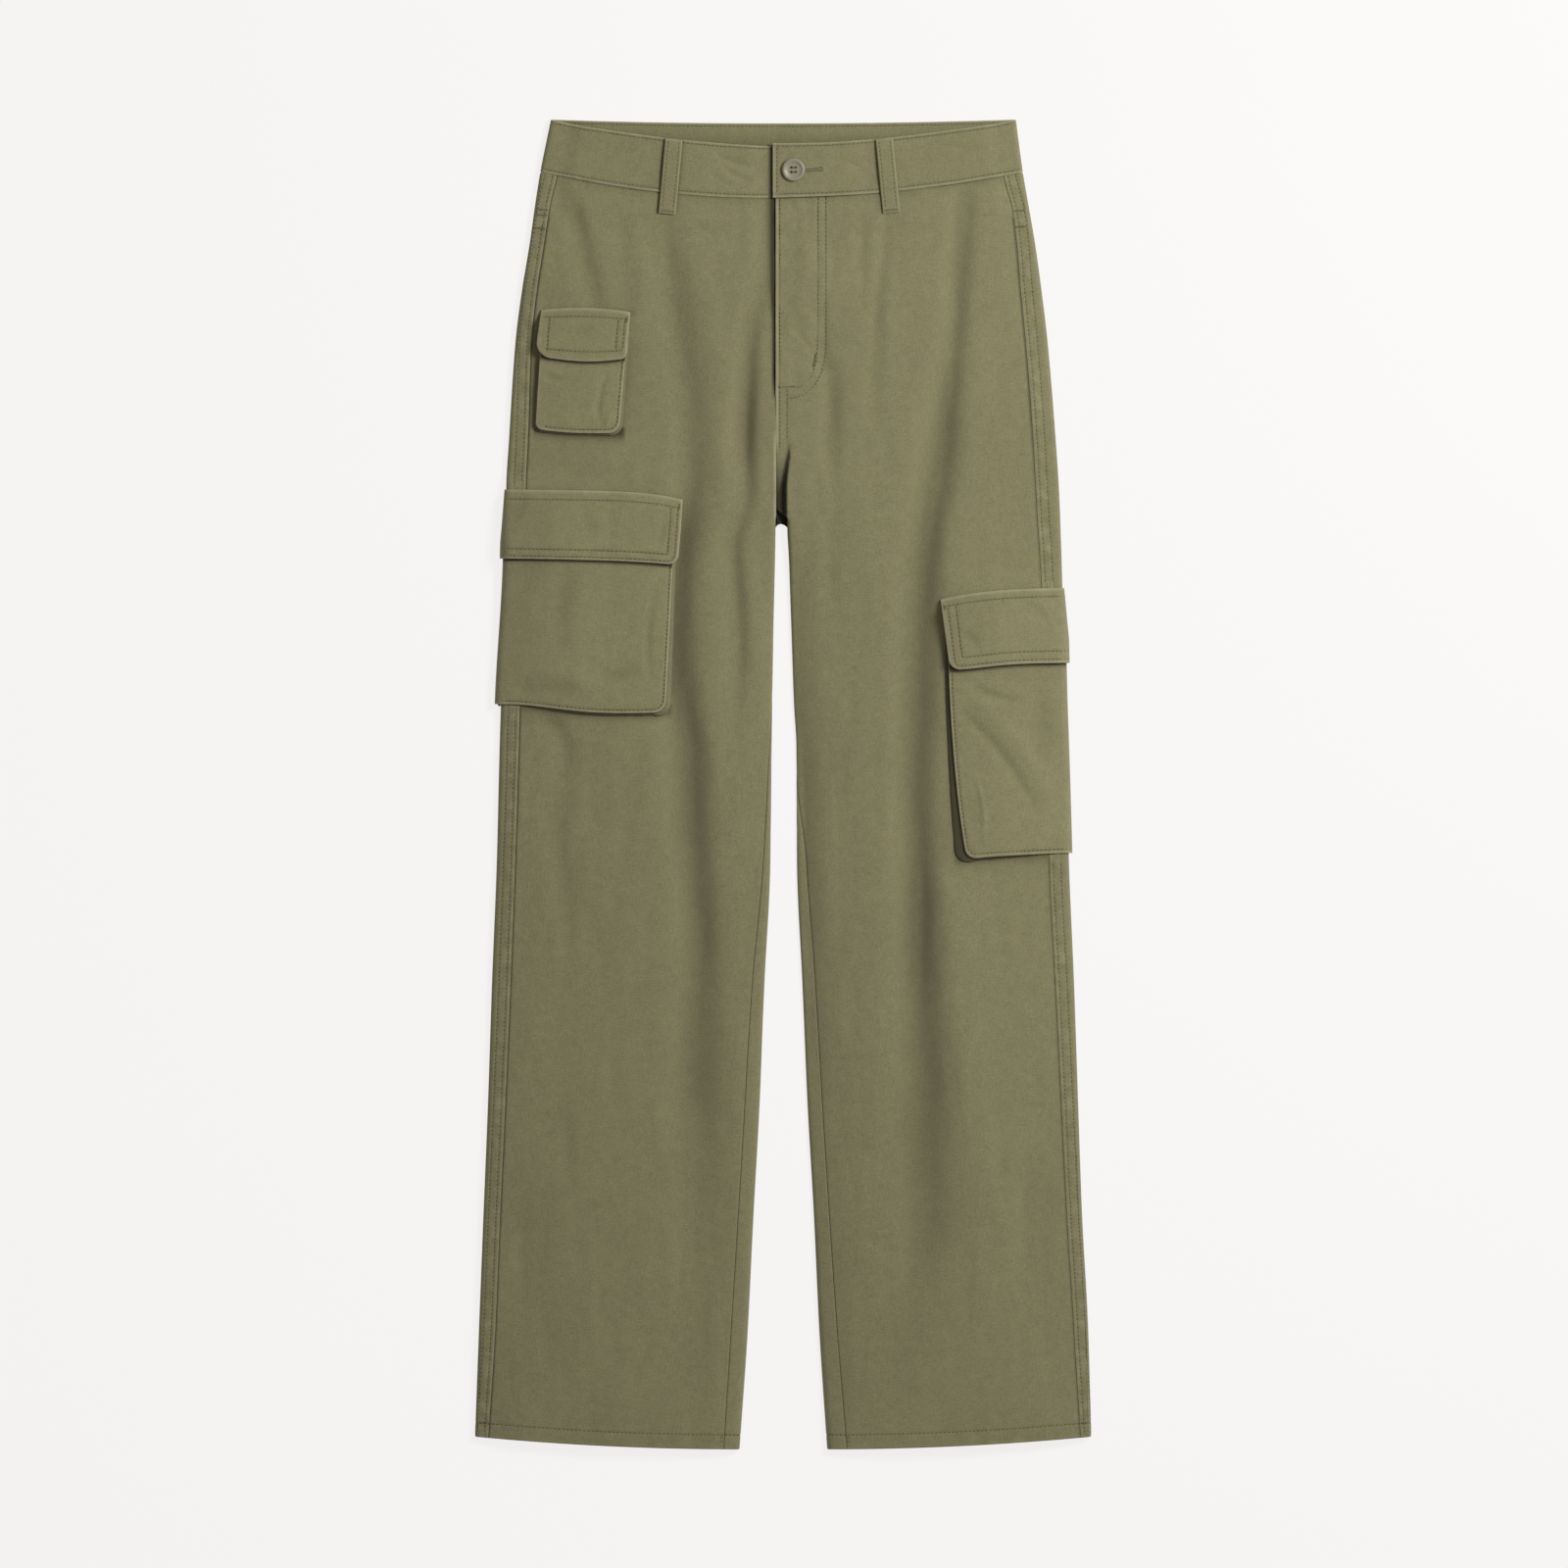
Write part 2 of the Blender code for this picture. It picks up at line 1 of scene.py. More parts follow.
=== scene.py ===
import bisect
import math
from collections import namedtuple

import bmesh
import bpy
import numpy as np
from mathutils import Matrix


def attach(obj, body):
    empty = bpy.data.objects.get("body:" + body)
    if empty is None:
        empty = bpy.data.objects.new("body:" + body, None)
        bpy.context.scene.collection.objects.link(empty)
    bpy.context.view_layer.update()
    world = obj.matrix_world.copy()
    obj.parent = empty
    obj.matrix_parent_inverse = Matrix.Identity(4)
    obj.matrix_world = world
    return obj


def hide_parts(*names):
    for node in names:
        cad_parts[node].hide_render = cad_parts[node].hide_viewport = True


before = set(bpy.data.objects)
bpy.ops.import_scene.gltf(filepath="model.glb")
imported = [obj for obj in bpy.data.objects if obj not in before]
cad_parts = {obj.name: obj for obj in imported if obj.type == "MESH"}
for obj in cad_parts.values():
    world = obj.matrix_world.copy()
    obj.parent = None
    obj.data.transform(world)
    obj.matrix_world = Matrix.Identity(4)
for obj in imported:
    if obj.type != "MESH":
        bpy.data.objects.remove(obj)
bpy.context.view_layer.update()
mm = 0.001
print("frame loaded")

# Sizes are in millimetres. Down runs from the waist at the sides to the hem, out from the
# middle to a side, and around follows the cloth from the outer fold: over the top if positive.
trousers = dict(
    length=1050.7, loft=6.2, bandLoft=6.6, foldReach=3.0, crown=5.2, bandCrown=0.8, lowest=0.02,
    waistDip=21.0, waistDipPower=2.1, backDip=3.0, waistDipEnd=300.0,  # the waist hangs in its middle
    crotchStart=314.0, crotch=322.0, hemRise=10.0, hemRiseStart=800.0,
    lapRise=1.4, flyStep=1.6, flyEnd=205.0, crotchSink=6.2,  # the left front lies on the right one
    loopLift=1.6, liftFade=45.0, liftRamp=14.0,  # the cloth is held up by what lies under it
    bandHeight=43.2, bandWall=2.4, bandLap=53.0, bandPast=3.1)
length = trousers["length"]
foldArc = trousers["foldReach"] * math.pi / 2
foldSlack = foldArc - trousers["foldReach"]
sign = {"right": -1, "left": 1}
other = {"right": "left", "left": "right"}
centre = {"right": 5.4, "left": -5.4}

Section = namedtuple("Section", "down outer sideSeam inner inseam")
sections = {
    "right": (
        Section(0, 183.5, 12.6, 5.4, 0), Section(42.6, 191.8, 13.4, 5.4, 0),
        Section(68, 195.9, 11.7, 5.4, 0), Section(99, 200.4, 11.2, 5.4, 0),
        Section(135, 206.4, 11.7, 5.4, 0), Section(176.5, 211.6, 12.7, 5.4, 0),
        Section(254, 216.7, 15.1, 5.4, 0), Section(290, 218.8, 15.6, 5.4, 0),
        Section(306, 218.9, 15.2, 5.4, 0), Section(317.5, 219.0, 15.0, 5.8, -0.5),
        Section(345, 219.6, 14.8, 6.3, -3), Section(401, 221.1, 14.9, 7.6, -3),
        Section(494, 224.0, 15.3, 9.0, 3), Section(587, 226.3, 14.7, 10.0, 7.5),
        Section(680, 230.0, 14.8, 14.4, 11.5), Section(773, 233.1, 13.9, 18.0, 13.7),
        Section(866, 236.8, 13.4, 23.1, 14.2), Section(958.6, 240.2, 13.1, 27.8, 15.2),
        Section(length, 243.5, 10.6, 34.2, 14.5),
    ),
    "left": (
        Section(0, 183.9, 12.9, -5.4, 0), Section(42.6, 189.4, 15.3, -5.4, 0),
        Section(71, 194.3, 13.2, -5.4, 0), Section(99, 199.2, 14.6, -5.4, 0),
        Section(135, 204.2, 16.5, -5.4, 0), Section(176.5, 209.1, 17.5, -5.4, 0),
        Section(254, 215.5, 18.1, -5.4, 0), Section(290, 217.9, 18.6, -5.4, 0),
        Section(307, 218.7, 18.4, -5.4, 0), Section(311.5, 218.9, 18.3, -1.1, 0),
        Section(316, 219.0, 18.2, 3.2, 0), Section(322, 219.2, 18.0, 3.2, -0.5),
        Section(345, 220.0, 17.2, 4.4, -4), Section(401, 221.5, 16.0, 6.4, -5),
        Section(463, 222.9, 15.8, 8.6, -3.2), Section(494, 223.7, 15.8, 10.4, -2),
        Section(587, 225.9, 15.9, 10.9, 9), Section(680, 229.8, 15.0, 14.8, 12),
        Section(773, 233.0, 13.6, 18.7, 13.5), Section(866, 236.2, 12.3, 24.0, 14.1),
        Section(958.6, 240.9, 11.6, 28.5, 15.9), Section(length, 243.5, 8.6, 34.7, 17.4),
    ),
}

# The main creases. A row of a path is (down, out, how much of its depth the crease has there); near is
# the crease's width towards the centre and far its width towards the outer fold.
Crease = namedtuple("Crease", "depth near far path")
creases = {
    "right": (
        Crease(9.0, 14, 14, (
            (45, 100, 0), (91, 94, 0.3), (118, 88, 0.42), (145, 84, 0.5), (172, 80, 0.48), (199, 77, 0.45),
            (226, 75, 0.42), (281, 73, 0.5), (308, 78, 0.6), (335, 83, 0.9), (362, 86, 0.9),
            (416, 87, 0.95), (443, 85, 0.95), (470, 81, 0.95), (497, 76, 0.95), (552, 74, 0.95),
            (606, 70, 0.85), (645, 67, 0.85), (700, 69, 0.75), (768, 70, 0.8), (800, 67, 0.6),
            (850, 66, 0.45), (900, 66, 0.35), (985, 75, 0.25), (1040, 78, 0))),
        Crease(6.6, 7, 10, (
            (95, 16, 0), (130, 22, 0.3), (172, 27, 0.75), (199, 28, 0.95), (240, 30, 1.15),
            (262, 30.5, 0.95), (284, 30, 0.6), (308, 32, 0.42), (335, 40, 0.5), (389, 36, 0.52),
            (425, 35, 0.48), (455, 37, 0.25), (500, 42, 0))),
        Crease(2.7, 8, 11, (
            (46, 174, 0), (80, 163, 1), (118, 154, 0.9), (145, 147, 0.5), (185, 141, 0))),
        Crease(2.0, 7, 8, (
            (52, 127, 0), (91, 126, 0.5), (145, 124, 0.35), (150, 124, 0))),
        Crease(2.2, 9, 10, (
            (464, 186, 0), (474, 184, 1), (497, 173, 1), (524, 174, 0.7), (552, 179, 0.8), (606, 173, 0.8),
            (650, 172, 0.3), (880, 184, 0.1), (890, 186, 0))),
        Crease(1.2, 10, 10, (
            (850, 205, 0), (880, 203, 1), (925, 197, 0.6), (985, 180, 0.8), (1025, 170, 0))),
    ),
    "left": (
        Crease(5.2, 9, 9.5, (
            (43, 143, 0.2), (65, 141, 0.6), (91, 139, 0.85), (118, 137, 1), (145, 136.5, 1),
            (172, 133.5, 1), (199, 130.5, 1), (226, 126.5, 0.7), (253, 124, 0.3), (281, 121, 0))),
        Crease(8.6, 14, 13, (
            (185, 132, 0), (226, 127, 0.45), (253, 125, 0.8), (281, 121, 0.95), (308, 116, 1),
            (335, 112.5, 1), (362, 109.5, 1), (416, 106.5, 0.9), (470, 105, 0.95), (524, 103, 0.95),
            (579, 105, 0.95), (606, 106, 1.15), (660, 105.5, 1.1), (714, 107, 0.9), (768, 110.5, 0.9),
            (823, 109, 0.78), (860, 110, 0.6), (890, 110, 0.4), (930, 108, 0.15), (1000, 110, 0))),
        Crease(-3.4, 17, 20, (
            (590, 128, 0), (615, 131, 1), (660, 137, 1), (714, 138, 1), (768, 144, 1), (823, 150, 0.9),
            (877, 159, 0.7), (904, 163, 0.6), (990, 173, 0))),
        Crease(2.4, 11, 12, (
            (860, 110, 0), (904, 103, 0.9), (950, 92, 0.6), (1012, 86, 0.5), (1040, 84, 0))),
        Crease(1.8, 6, 7, (
            (50, 84, 0), (91, 79, 0.8), (118, 76, 1), (145, 73, 1), (172, 72.5, 0.8), (200, 71, 0.7),
            (245, 71, 0))),
        Crease(1.2, 5, 5, (
            (55, 62, 0), (91, 62, 1), (118, 63, 0.8), (145, 63, 0))),
        Crease(3.4, 7, 8, (
            (120, 30, 0), (150, 31, 0.45), (172, 31, 0.6), (199, 37, 0.75), (226, 37.5, 1), (253, 36, 0.75),
            (281, 39, 0.4), (308, 40, 0.2), (362, 37, 0.3), (400, 38, 0))),
        Crease(4.6, 10, 14, (
            (324, 4, 0), (350, 5, 0.15), (450, 9, 0.65), (500, 10, 0.9), (552, 10.5, 1.1), (606, 12, 1.1),
            (660, 14, 1.05), (714, 17, 0.85), (768, 19, 0.7), (823, 22, 0.55), (904, 27, 0.4),
            (985, 31, 0.3), (1035, 33, 0))),
        Crease(1.7, 11, 12, (
            (815, 194, 0), (850, 196, 1), (904, 198, 1), (950, 206, 0.6), (1010, 222, 0.6),
            (1040, 230, 0))),
    ),
}
# Short wrinkles in the top and in the band: from one point to another, each (out, down).
Wrinkle = namedtuple("Wrinkle", "depth width start end")
wrinkles = {
    "right": (
        Wrinkle(0.6, 4.0, (75, 62), (52, 78)), Wrinkle(0.5, 3.5, (90, 48), (70, 60)),
        Wrinkle(0.6, 6, (150, 262), (170, 284)), Wrinkle(0.5, 5, (120, 252), (128, 288)),
        Wrinkle(0.5, 7, (120, 930), (150, 985))),
    "left": (
        Wrinkle(0.7, 2.2, (4, 152), (28, 186)), Wrinkle(0.5, 2.0, (2, 100), (19, 78)),
        Wrinkle(-0.9, 5.0, (14, 62), (11, 146)), Wrinkle(0.6, 2.0, (13, 54), (7, 76)),
        Wrinkle(-0.5, 1.6, (2, 96), (14, 80)), Wrinkle(0.55, 2.2, (5, 126), (24, 112)),
        Wrinkle(-0.5, 3.0, (8, 138), (26, 150)), Wrinkle(0.45, 2.4, (24, 70), (27, 120)),
        Wrinkle(0.4, 3.0, (40, 76), (34, 130)), Wrinkle(0.6, 4.0, (35, 60), (18, 68)),
        Wrinkle(0.5, 5, (150, 300), (118, 330)), Wrinkle(0.5, 6, (60, 880), (90, 900))),
}
bandWrinkles = {
    "right": (
        Wrinkle(1.0, 2.6, (54, 9), (17, 18)), Wrinkle(0.8, 2.8, (50, 18), (24, 30)),
        Wrinkle(0.5, 2.4, (60, 24), (34, 34)), Wrinkle(0.5, 3.0, (120, 12), (160, 26))),
    "left": (
        Wrinkle(0.6, 2.6, (40, 14), (66, 27)), Wrinkle(0.5, 2.4, (30, 22), (58, 12)),
        Wrinkle(0.4, 3.0, (118, 10), (150, 22)), Wrinkle(0.4, 2.6, (100, 26), (128, 14))),
}

# Near is an edge of a pocket towards the middle and far its other one, both in from the outer fold;
# a negative far edge lies underneath. Falls are how much lower the flap's top, the flap's bottom and
# the bag's bottom run at each quarter of the way to the near edge. Spill is how far the bag's bellows
# shows at the near edge's top and foot, at its far side and at its bottom, and gusset how dark the
# painted shade on it is. A bend over 1 keeps most of the bag's slant for its foot. Shadow is the painted
# shadow on the leg: how dark it is beside the near edge, how far that reaches, and how dark beside the
# far edge and below the bottom.
Pocket = namedtuple("Pocket", "side flapTop flapBottom bagBottom flapNear flapNearLow bagNear bagNearLow "
                              "flapFar bagFar puff sidePuff spill gusset bend falls shadow")
pockets = {
    "hip_pocket": Pocket(
        "right", 149.1, 187.5, 243.0, 86.6, 88.0, 87.6, 86.2, 17.8, 20.7, 4.4, 0, (0.7, 0.8, 0.45, 0.6), 0.25,
        1,
        ((0, -3.1, -4.9, -5.2, -4.0), (-2.2, -1.2, -0.7, -2.0, -4.8), (0, 1.8, 2.4, 2.2, 1.6)),
        (0.26, 4.0, 0.45, 0.92)),
    "thigh_pocket_right": Pocket(
        "right", 292.9, 346.3, 461.4, 138.9, 136.0, 132.9, 129.7, -35, -35, 5, 3, (0.5, 1.1, 0, 0.6), 0.2, 1,
        ((0, 0.2, 0.6, 2.2, 7.9), (0, 0.5, 1.3, 2.6, 5.2), (0, 2.4, 6.0, 7.2, 6.8)), (0.1, 4.0, 0, 0.6)),
    "thigh_pocket_left": Pocket(
        "left", 370.7, 428.7, 579.0, 96.0, 90.0, 91.2, 80.4, -50, -50, 5, 1, (0.7, 2.2, 0, 0.4), 0.9, 2.6,
        ((0, 0.6, 1.9, 4.5, 9.0), (0, 0.5, 1.7, 4.0, 5.6), (0, 0.8, 1.8, 3.0, 5.2)), (0.45, 1.3, 0, 0.6)),
}
pocketMake = dict(bagDrop=16.0, bagFlat=1.9, flapFlat=2.4, wrapReach=60.0, flapFlare=1.1, bagDeepest=4.6,
                  gussetWidth=3.7, topShade=0.24)


def ramp(value, start, end):
    share = np.clip((value - start) / (end - start), 0, 1)
    return share * share * (3 - 2 * share)


def nearLine(value, line, width):
    # 1 on a line, and falling off evenly to both its sides
    return np.exp(-((value - line) / width) ** 2)


def fading(distance, reach):
    # 1 up to an edge, and falling off past it
    return np.exp(-np.clip(distance, 0, None) / reach)


downSteps = np.arange(0, length + 1)


def eased(downs, values):
    # monotone easing between the rows of a table, as the solids have it, at every millimetre down
    slopes = np.diff(values) / np.diff(downs)

    def tangent(j):
        if j in (0, len(slopes)):
            return slopes[min(j, len(slopes) - 1)]
        before, after = slopes[j - 1], slopes[j]
        return 2 * before * after / (before + after) if before * after > 0 else 0.0

    found = []
    for down in downSteps:
        down = min(max(down, downs[0]), downs[-1])
        i = min(bisect.bisect_right(downs, down), len(downs) - 1) - 1
        step = downs[i + 1] - downs[i]
        t = (down - downs[i]) / step
        found.append((1 + 2 * t) * (1 - t) ** 2 * values[i] + t * t * (3 - 2 * t) * values[i + 1]
                     + step * t * (1 - t) * ((1 - t) * tangent(i) - t * tangent(i + 1)))
    return np.array(found)


def easedColumns(rows):
    downs, *columns = zip(*rows)
    return [eased(downs, values) for values in columns]


tables = {side: dict(zip(Section._fields[1:], easedColumns(rows))) for side, rows in sections.items()}
creasePaths = {side: [(crease, *easedColumns(crease.path)) for crease in rows]
               for side, rows in creases.items()}


def at(side, column, down):
    return np.interp(down, downSteps, tables[side][column])


def inwardShare(side, out, down):
    # from 0 at the outer fold to 1 at the middle or the inseam
    outer, inner = at(side, "outer", down), at(side, "inner", down)
    return np.clip((outer - out) / (outer - inner), 0, 1)


def wrapping(side):
    # the pocket that goes round a side's outer fold
    return next(pocket for pocket in pockets.values() if pocket.side == side and pocket.bagFar < 0)


def unevenness(x, y, size, seed):
    # smooth noise from -1 to 1 with bumps of about one size
    grid = np.random.default_rng(seed).uniform(-1, 1, (61, 61))
    gx, gy = np.broadcast_arrays(np.asarray(x) / size, np.asarray(y) / size)
    i, j = np.floor(gx).astype(int), np.floor(gy).astype(int)
    u, v = gx - i, gy - j
    u, v = u * u * (3 - 2 * u), v * v * (3 - 2 * v)
    cell = lambda a, b: grid[(i + a) % 61, (j + b) % 61]
    return (cell(0, 0) * (1 - u) + cell(1, 0) * u) * (1 - v) + (cell(0, 1) * (1 - u) + cell(1, 1) * u) * v


def wrinkleDepth(wrinkle, out, down):
    start, end = np.array(wrinkle.start, float), np.array(wrinkle.end, float)
    run = end - start
    long = np.hypot(*run)
    t = ((out - start[0]) * run[0] + (down - start[1]) * run[1]) / long ** 2
    away = ((out - start[0]) * run[1] - (down - start[1]) * run[0]) / long
    arch = np.sin(np.pi * np.clip(t, 0, 1))
    return wrinkle.depth * arch ** 0.7 * nearLine(away, 0.06 * long * arch, wrinkle.width)


def underPocket(side, out, down):
    # how far a place lies under the pocket that goes round the fold
    pocket = wrapping(side)
    low = np.clip((down - pocket.flapTop) / (pocket.bagBottom - pocket.flapTop), 0, 1)
    edge = at(side, "outer", down) - pocket.flapNear + (pocket.flapNear - pocket.bagNearLow) * low
    below = ramp(down, pocket.bagBottom + 18, pocket.bagBottom + 3)
    return ramp(out - edge, 0, 14) * (ramp(down, pocket.flapTop - 16, pocket.flapTop) * below)


def creaseDepth(side, out, down):
    total = 0.0 * (out + down)
    for crease, path, share in creasePaths[side]:
        away = out - np.interp(down, downSteps, path)
        width = np.where(away < 0, crease.near, crease.far) * (1 + 0.4 * ramp(down, 640, 800))
        total = total + crease.depth * np.interp(down, downSteps, share) * nearLine(away, 0, width)
    return total * (1 - underPocket(side, out, down))


def liftSteps(pocket):
    # how high a wrapping pocket holds the cloth, as (down, height)
    bagHigh = pocketMake["bagFlat"]
    both = bagHigh + pocketMake["flapFlat"]
    reach = trousers["liftRamp"]
    top, low, foot = pocket.flapTop - 1, pocket.flapBottom + 1, pocket.bagBottom + 3
    bagTop = pocket.flapTop + pocketMake["bagDrop"] - 5
    return ((top - reach, 0.0), (top, pocketMake["flapFlat"]), (bagTop, both), (low, both),
            (low + reach, bagHigh), (foot, bagHigh), (foot + reach, 0.0))


def lift(side, out, down, fade):
    # what lies under the cloth holds it up
    reach = at(side, "outer", down) - out
    highest = trousers["loopLift"] * ramp(reach, 14, 28) * ramp(down, 80, 60)
    pocket = wrapping(side)
    downs, heights = zip(*liftSteps(pocket))
    share = 1 - np.clip((reach + pocket.bagFar - 1) / fade, 0, 1)
    return np.maximum(highest, np.interp(down, downs, heights) * share)


def legFold(down):
    # where the left front turns down into the slit between the legs, out from the middle
    return 6.4 - 3.4 * ramp(down, 250, 292)


def lapHeight(side, out, down, onBand):
    inward = out - centre[side]
    if onBand:
        if side == "left":
            return trousers["lapRise"] * ramp(inward, trousers["bandLap"] + 20, trousers["bandLap"] + 2)
        return -trousers["lapRise"] * ramp(inward, 22, 8)
    if side == "left":  # the seam's strip sinks into the crotch beside the fold of the leg
        fold = legFold(down)
        sunk = trousers["crotchSink"] * ramp(down, 246, 296) * ramp(out, fold + 0.6, fold - 3.0)
        return -sunk * (1 - 0.4 * ramp(down, 306, 318))
    flyEnd = trousers["flyEnd"]
    under = 0.9 * ramp(inward, 4, -1) * ramp(down, flyEnd + 10, flyEnd)
    return -trousers["flyStep"] * ramp(inward, 22, 6) * ramp(down, flyEnd + 40, flyEnd) - under


def parting(down):
    return ramp(down, trousers["crotchStart"], trousers["crotch"])


def crownHeight(side, out, down, onBand):
    # each leg is fuller in its middle
    share = inwardShare(side, out, down)
    joined = 1 - (1 - share) ** 3
    parted = np.clip(1 - (2 * share - 1) ** 2, 0, 1) ** 0.8
    full = trousers["bandCrown"] + (0 if onBand else trousers["crown"] * ramp(down, 43, 130))
    return full * (joined + (parted - joined) * ramp(down, 285, 370))


def topHeight(side, out, down, onBand=False, calm=False):
    height = trousers["bandLoft"] if onBand else trousers["loft"]
    height = height + lift(side, out, down, trousers["liftFade"]) + lapHeight(side, out, down, onBand)
    height = height + crownHeight(side, out, down, onBand)
    for wrinkle in (bandWrinkles if onBand else wrinkles)[side]:
        height = height - wrinkleDepth(wrinkle, out, down)
    if onBand:
        return height + 0.14 * unevenness(out, down, 17, 5 + sign[side])
    soft = 0.5 * unevenness(out, down * 0.2, 26, 8 + sign[side]) + 0.3 * unevenness(out, down * 0.25, 9, 11)
    soft = soft + 0.07 * unevenness(out, down * 0.3, 4.5, 12)
    if calm:  # as under a pocket
        return height + 0.4 * soft
    room = height - bottomHeight(side, out, down) - 2.6 - 1.6 * ramp(down, 235, 215)
    depth = creaseDepth(side, out, down)
    over = np.clip(depth - room + 1.0, 0, None)
    return height - depth + over * over / (over + 1.0) + soft


def underCreases(side, out, down):
    # the hidden back has a few soft troughs too, up from where it rests
    reach = at(side, "outer", down) - out
    clear = ramp(reach, 62, 80) * ramp(out, 34, 60) * ramp(down, 90, 150)
    wave = np.exp(-((out - 108 - 9 * np.sin(down / 130 + sign[side])) / 12) ** 2)
    return 1.1 * clear * wave * (0.6 + 0.4 * np.sin(down / 71 + 2 * sign[side]))


def bottomHeight(side, out, down):
    return lift(side, out, down, trousers["liftRamp"]) + underCreases(side, out, down)


# How much higher the front's waist and the band's lower edge lie than the plain dip, by how far in.
waistRise = {
    "right": ((0, 0.13, 0.25, 0.4, 0.55, 0.7, 0.8, 0.9, 1), (0, 0.4, 1.5, 1.95, 2.0, 1.4, 1.0, 0.4, 0),
              (1.7, 1.6, 0.8, 0.1, -0.4, -0.8, -1.0, -0.9, -0.8)),
    "left": ((0, 0.09, 0.18, 0.27, 0.4, 0.6, 0.8, 0.9, 1), (0, 0.3, 1.2, 2.0, 2.4, 2.5, 2.2, 2.4, 2.4),
             (1.4, 1.55, 1.6, 1.2, 1.1, 0.3, 0, -0.2, -0.6)),
}


def waistRiseAt(side, share, down):
    shares, above, below = waistRise[side]
    low = np.clip(down / trousers["bandHeight"], 0, 1)
    rise = (1 - low) * np.interp(share, shares, above) + low * np.interp(share, shares, below)
    return rise * ramp(down, 128, 44)


def placed(side, out, down, height, top):
    # a place on one side in metres: the waist dips at its centre and the hem slopes
    share = inwardShare(side, out, down)
    dip = np.where(top, trousers["waistDip"], trousers["backDip"])
    dip = dip * (1 - (1 - share) ** trousers["waistDipPower"])
    dip = dip * np.clip(1 - np.maximum(down, 0) / trousers["waistDipEnd"], 0, None)
    dip = dip - waistRiseAt(side, np.where(top, share, 0), down)
    rise = trousers["hemRise"] * (1 - share) ** 2 * ramp(down, trousers["hemRiseStart"], length)
    parts = np.broadcast_arrays(sign[side] * out, length / 2 - down - dip + rise, height)
    return np.stack(parts, axis=-1) * mm


def girth(side, down):
    return at(side, "outer", down) - at(side, "inner", down) + foldSlack * (1 + parting(down))


def foldRound(away):
    turn = np.clip(away / foldArc, 0, 1) * math.pi / 2
    return trousers["foldReach"] * (1 - np.cos(turn)) + np.clip(away - foldArc, 0, None), np.sin(turn)


def skin(side, around, down, onBand=False, calm=False):
    # a point of the outer face of the cloth
    whole, part = girth(side, down), parting(down)
    outer, inner = at(side, "outer", down), at(side, "inner", down)
    away, top = np.abs(around), around >= 0
    past = (away > whole) & (part == 0)
    turned = (away > whole) & ~past
    away = np.where(turned, 2 * whole - away, away)
    top = np.where(turned, ~top, top)
    reach, fullness = foldRound(away)
    out = outer - reach
    half = away > whole / 2
    innerReach, innerRise = foldRound(whole - away)
    out = np.where(half, inner + (1 - part) * (whole - away) + part * innerReach, out)
    fullness = np.where(half, 1 - part + part * innerRise, fullness)
    high, low = topHeight(side, out, down, onBand, calm), bottomHeight(side, out, down)
    height = (high + low) / 2 + np.where(top, 1, -1) * fullness * (high - low) / 2
    point = placed(side, out, down, height, top)
    if onBand and np.any(past & top):
        beyond = placed(other[side], -out, down, high, True)
        beyond[..., 1] += (waistRiseAt(side, 1, down) - waistRiseAt(other[side], 1, down)) * mm
        point = np.where((past & top)[..., None], beyond, point)
    return point


def skinWithNormal(side, around, down, onBand=False, calm=False):
    around, down = np.broadcast_arrays(np.asarray(around, float), np.asarray(down, float))
    step = 0.08
    across = skin(side, around + step, down, onBand, calm) - skin(side, around - step, down, onBand, calm)
    along = skin(side, around, down + step, onBand, calm) - skin(side, around, down - step, onBand, calm)
    normal = np.cross(across, along) * sign[side]
    if calm:  # what lies on the cloth stands straight up from it, but out from it at the fold
        flat = ramp(np.abs(around), foldArc + 1, foldArc + 9)
        normal = normal * np.stack([1 - flat, 0 * flat, 1 + 0 * flat], -1)
    normal /= np.maximum(np.linalg.norm(normal, axis=-1, keepdims=True), 1e-12)
    return skin(side, around, down, onBand, calm), normal


def outside(side, around, down, height, onBand=False, calm=False):
    point, normal = skinWithNormal(side, around, down, onBand, calm)
    return point + normal * np.asarray(height)[..., None] * mm, normal


def keptUp(points, lowest=trousers["lowest"]):
    # nothing goes below the level that the trousers rest on
    points[..., 2] = np.maximum(points[..., 2], lowest * mm)
    return points


print("surfaces ready")


def fill(tree, made, inputs):
    for key, value in inputs.items():
        if isinstance(value, bpy.types.NodeSocket):
            tree.links.new(value, made.inputs[key])
        else:
            made.inputs[key].default_value = value


def node(tree, kind, inputs=(), **settings):
    made = tree.nodes.new(kind)
    for key, value in settings.items():
        setattr(made, key, value)
    fill(tree, made, dict(inputs))
    return made


def sums(tree, operation, a, b):
    return node(tree, "ShaderNodeMath", {0: a, 1: b}, operation=operation).outputs[0]


def blended(tree, share, a, b):
    return node(tree, "ShaderNodeMix", {0: share, 6: a, 7: b}, data_type="RGBA").outputs[2]


def noise(tree, place, scale, detail):
    return node(tree, "ShaderNodeTexNoise", {"Vector": place, "Scale": scale, "Detail": detail}).outputs[0]


def between(tree, value, low, high):
    return node(tree, "ShaderNodeMapRange", {"Value": value, "To Min": low, "To Max": high}).outputs[0]


def scaled(tree, colour, level):
    return node(tree, "ShaderNodeVectorMath", {0: colour, "Scale": level}, operation="SCALE").outputs[0]


def freshMaterial(name):
    made = bpy.data.materials.new(name)
    made.use_nodes = True
    return made, made.node_tree, made.node_tree.nodes["Principled BSDF"]
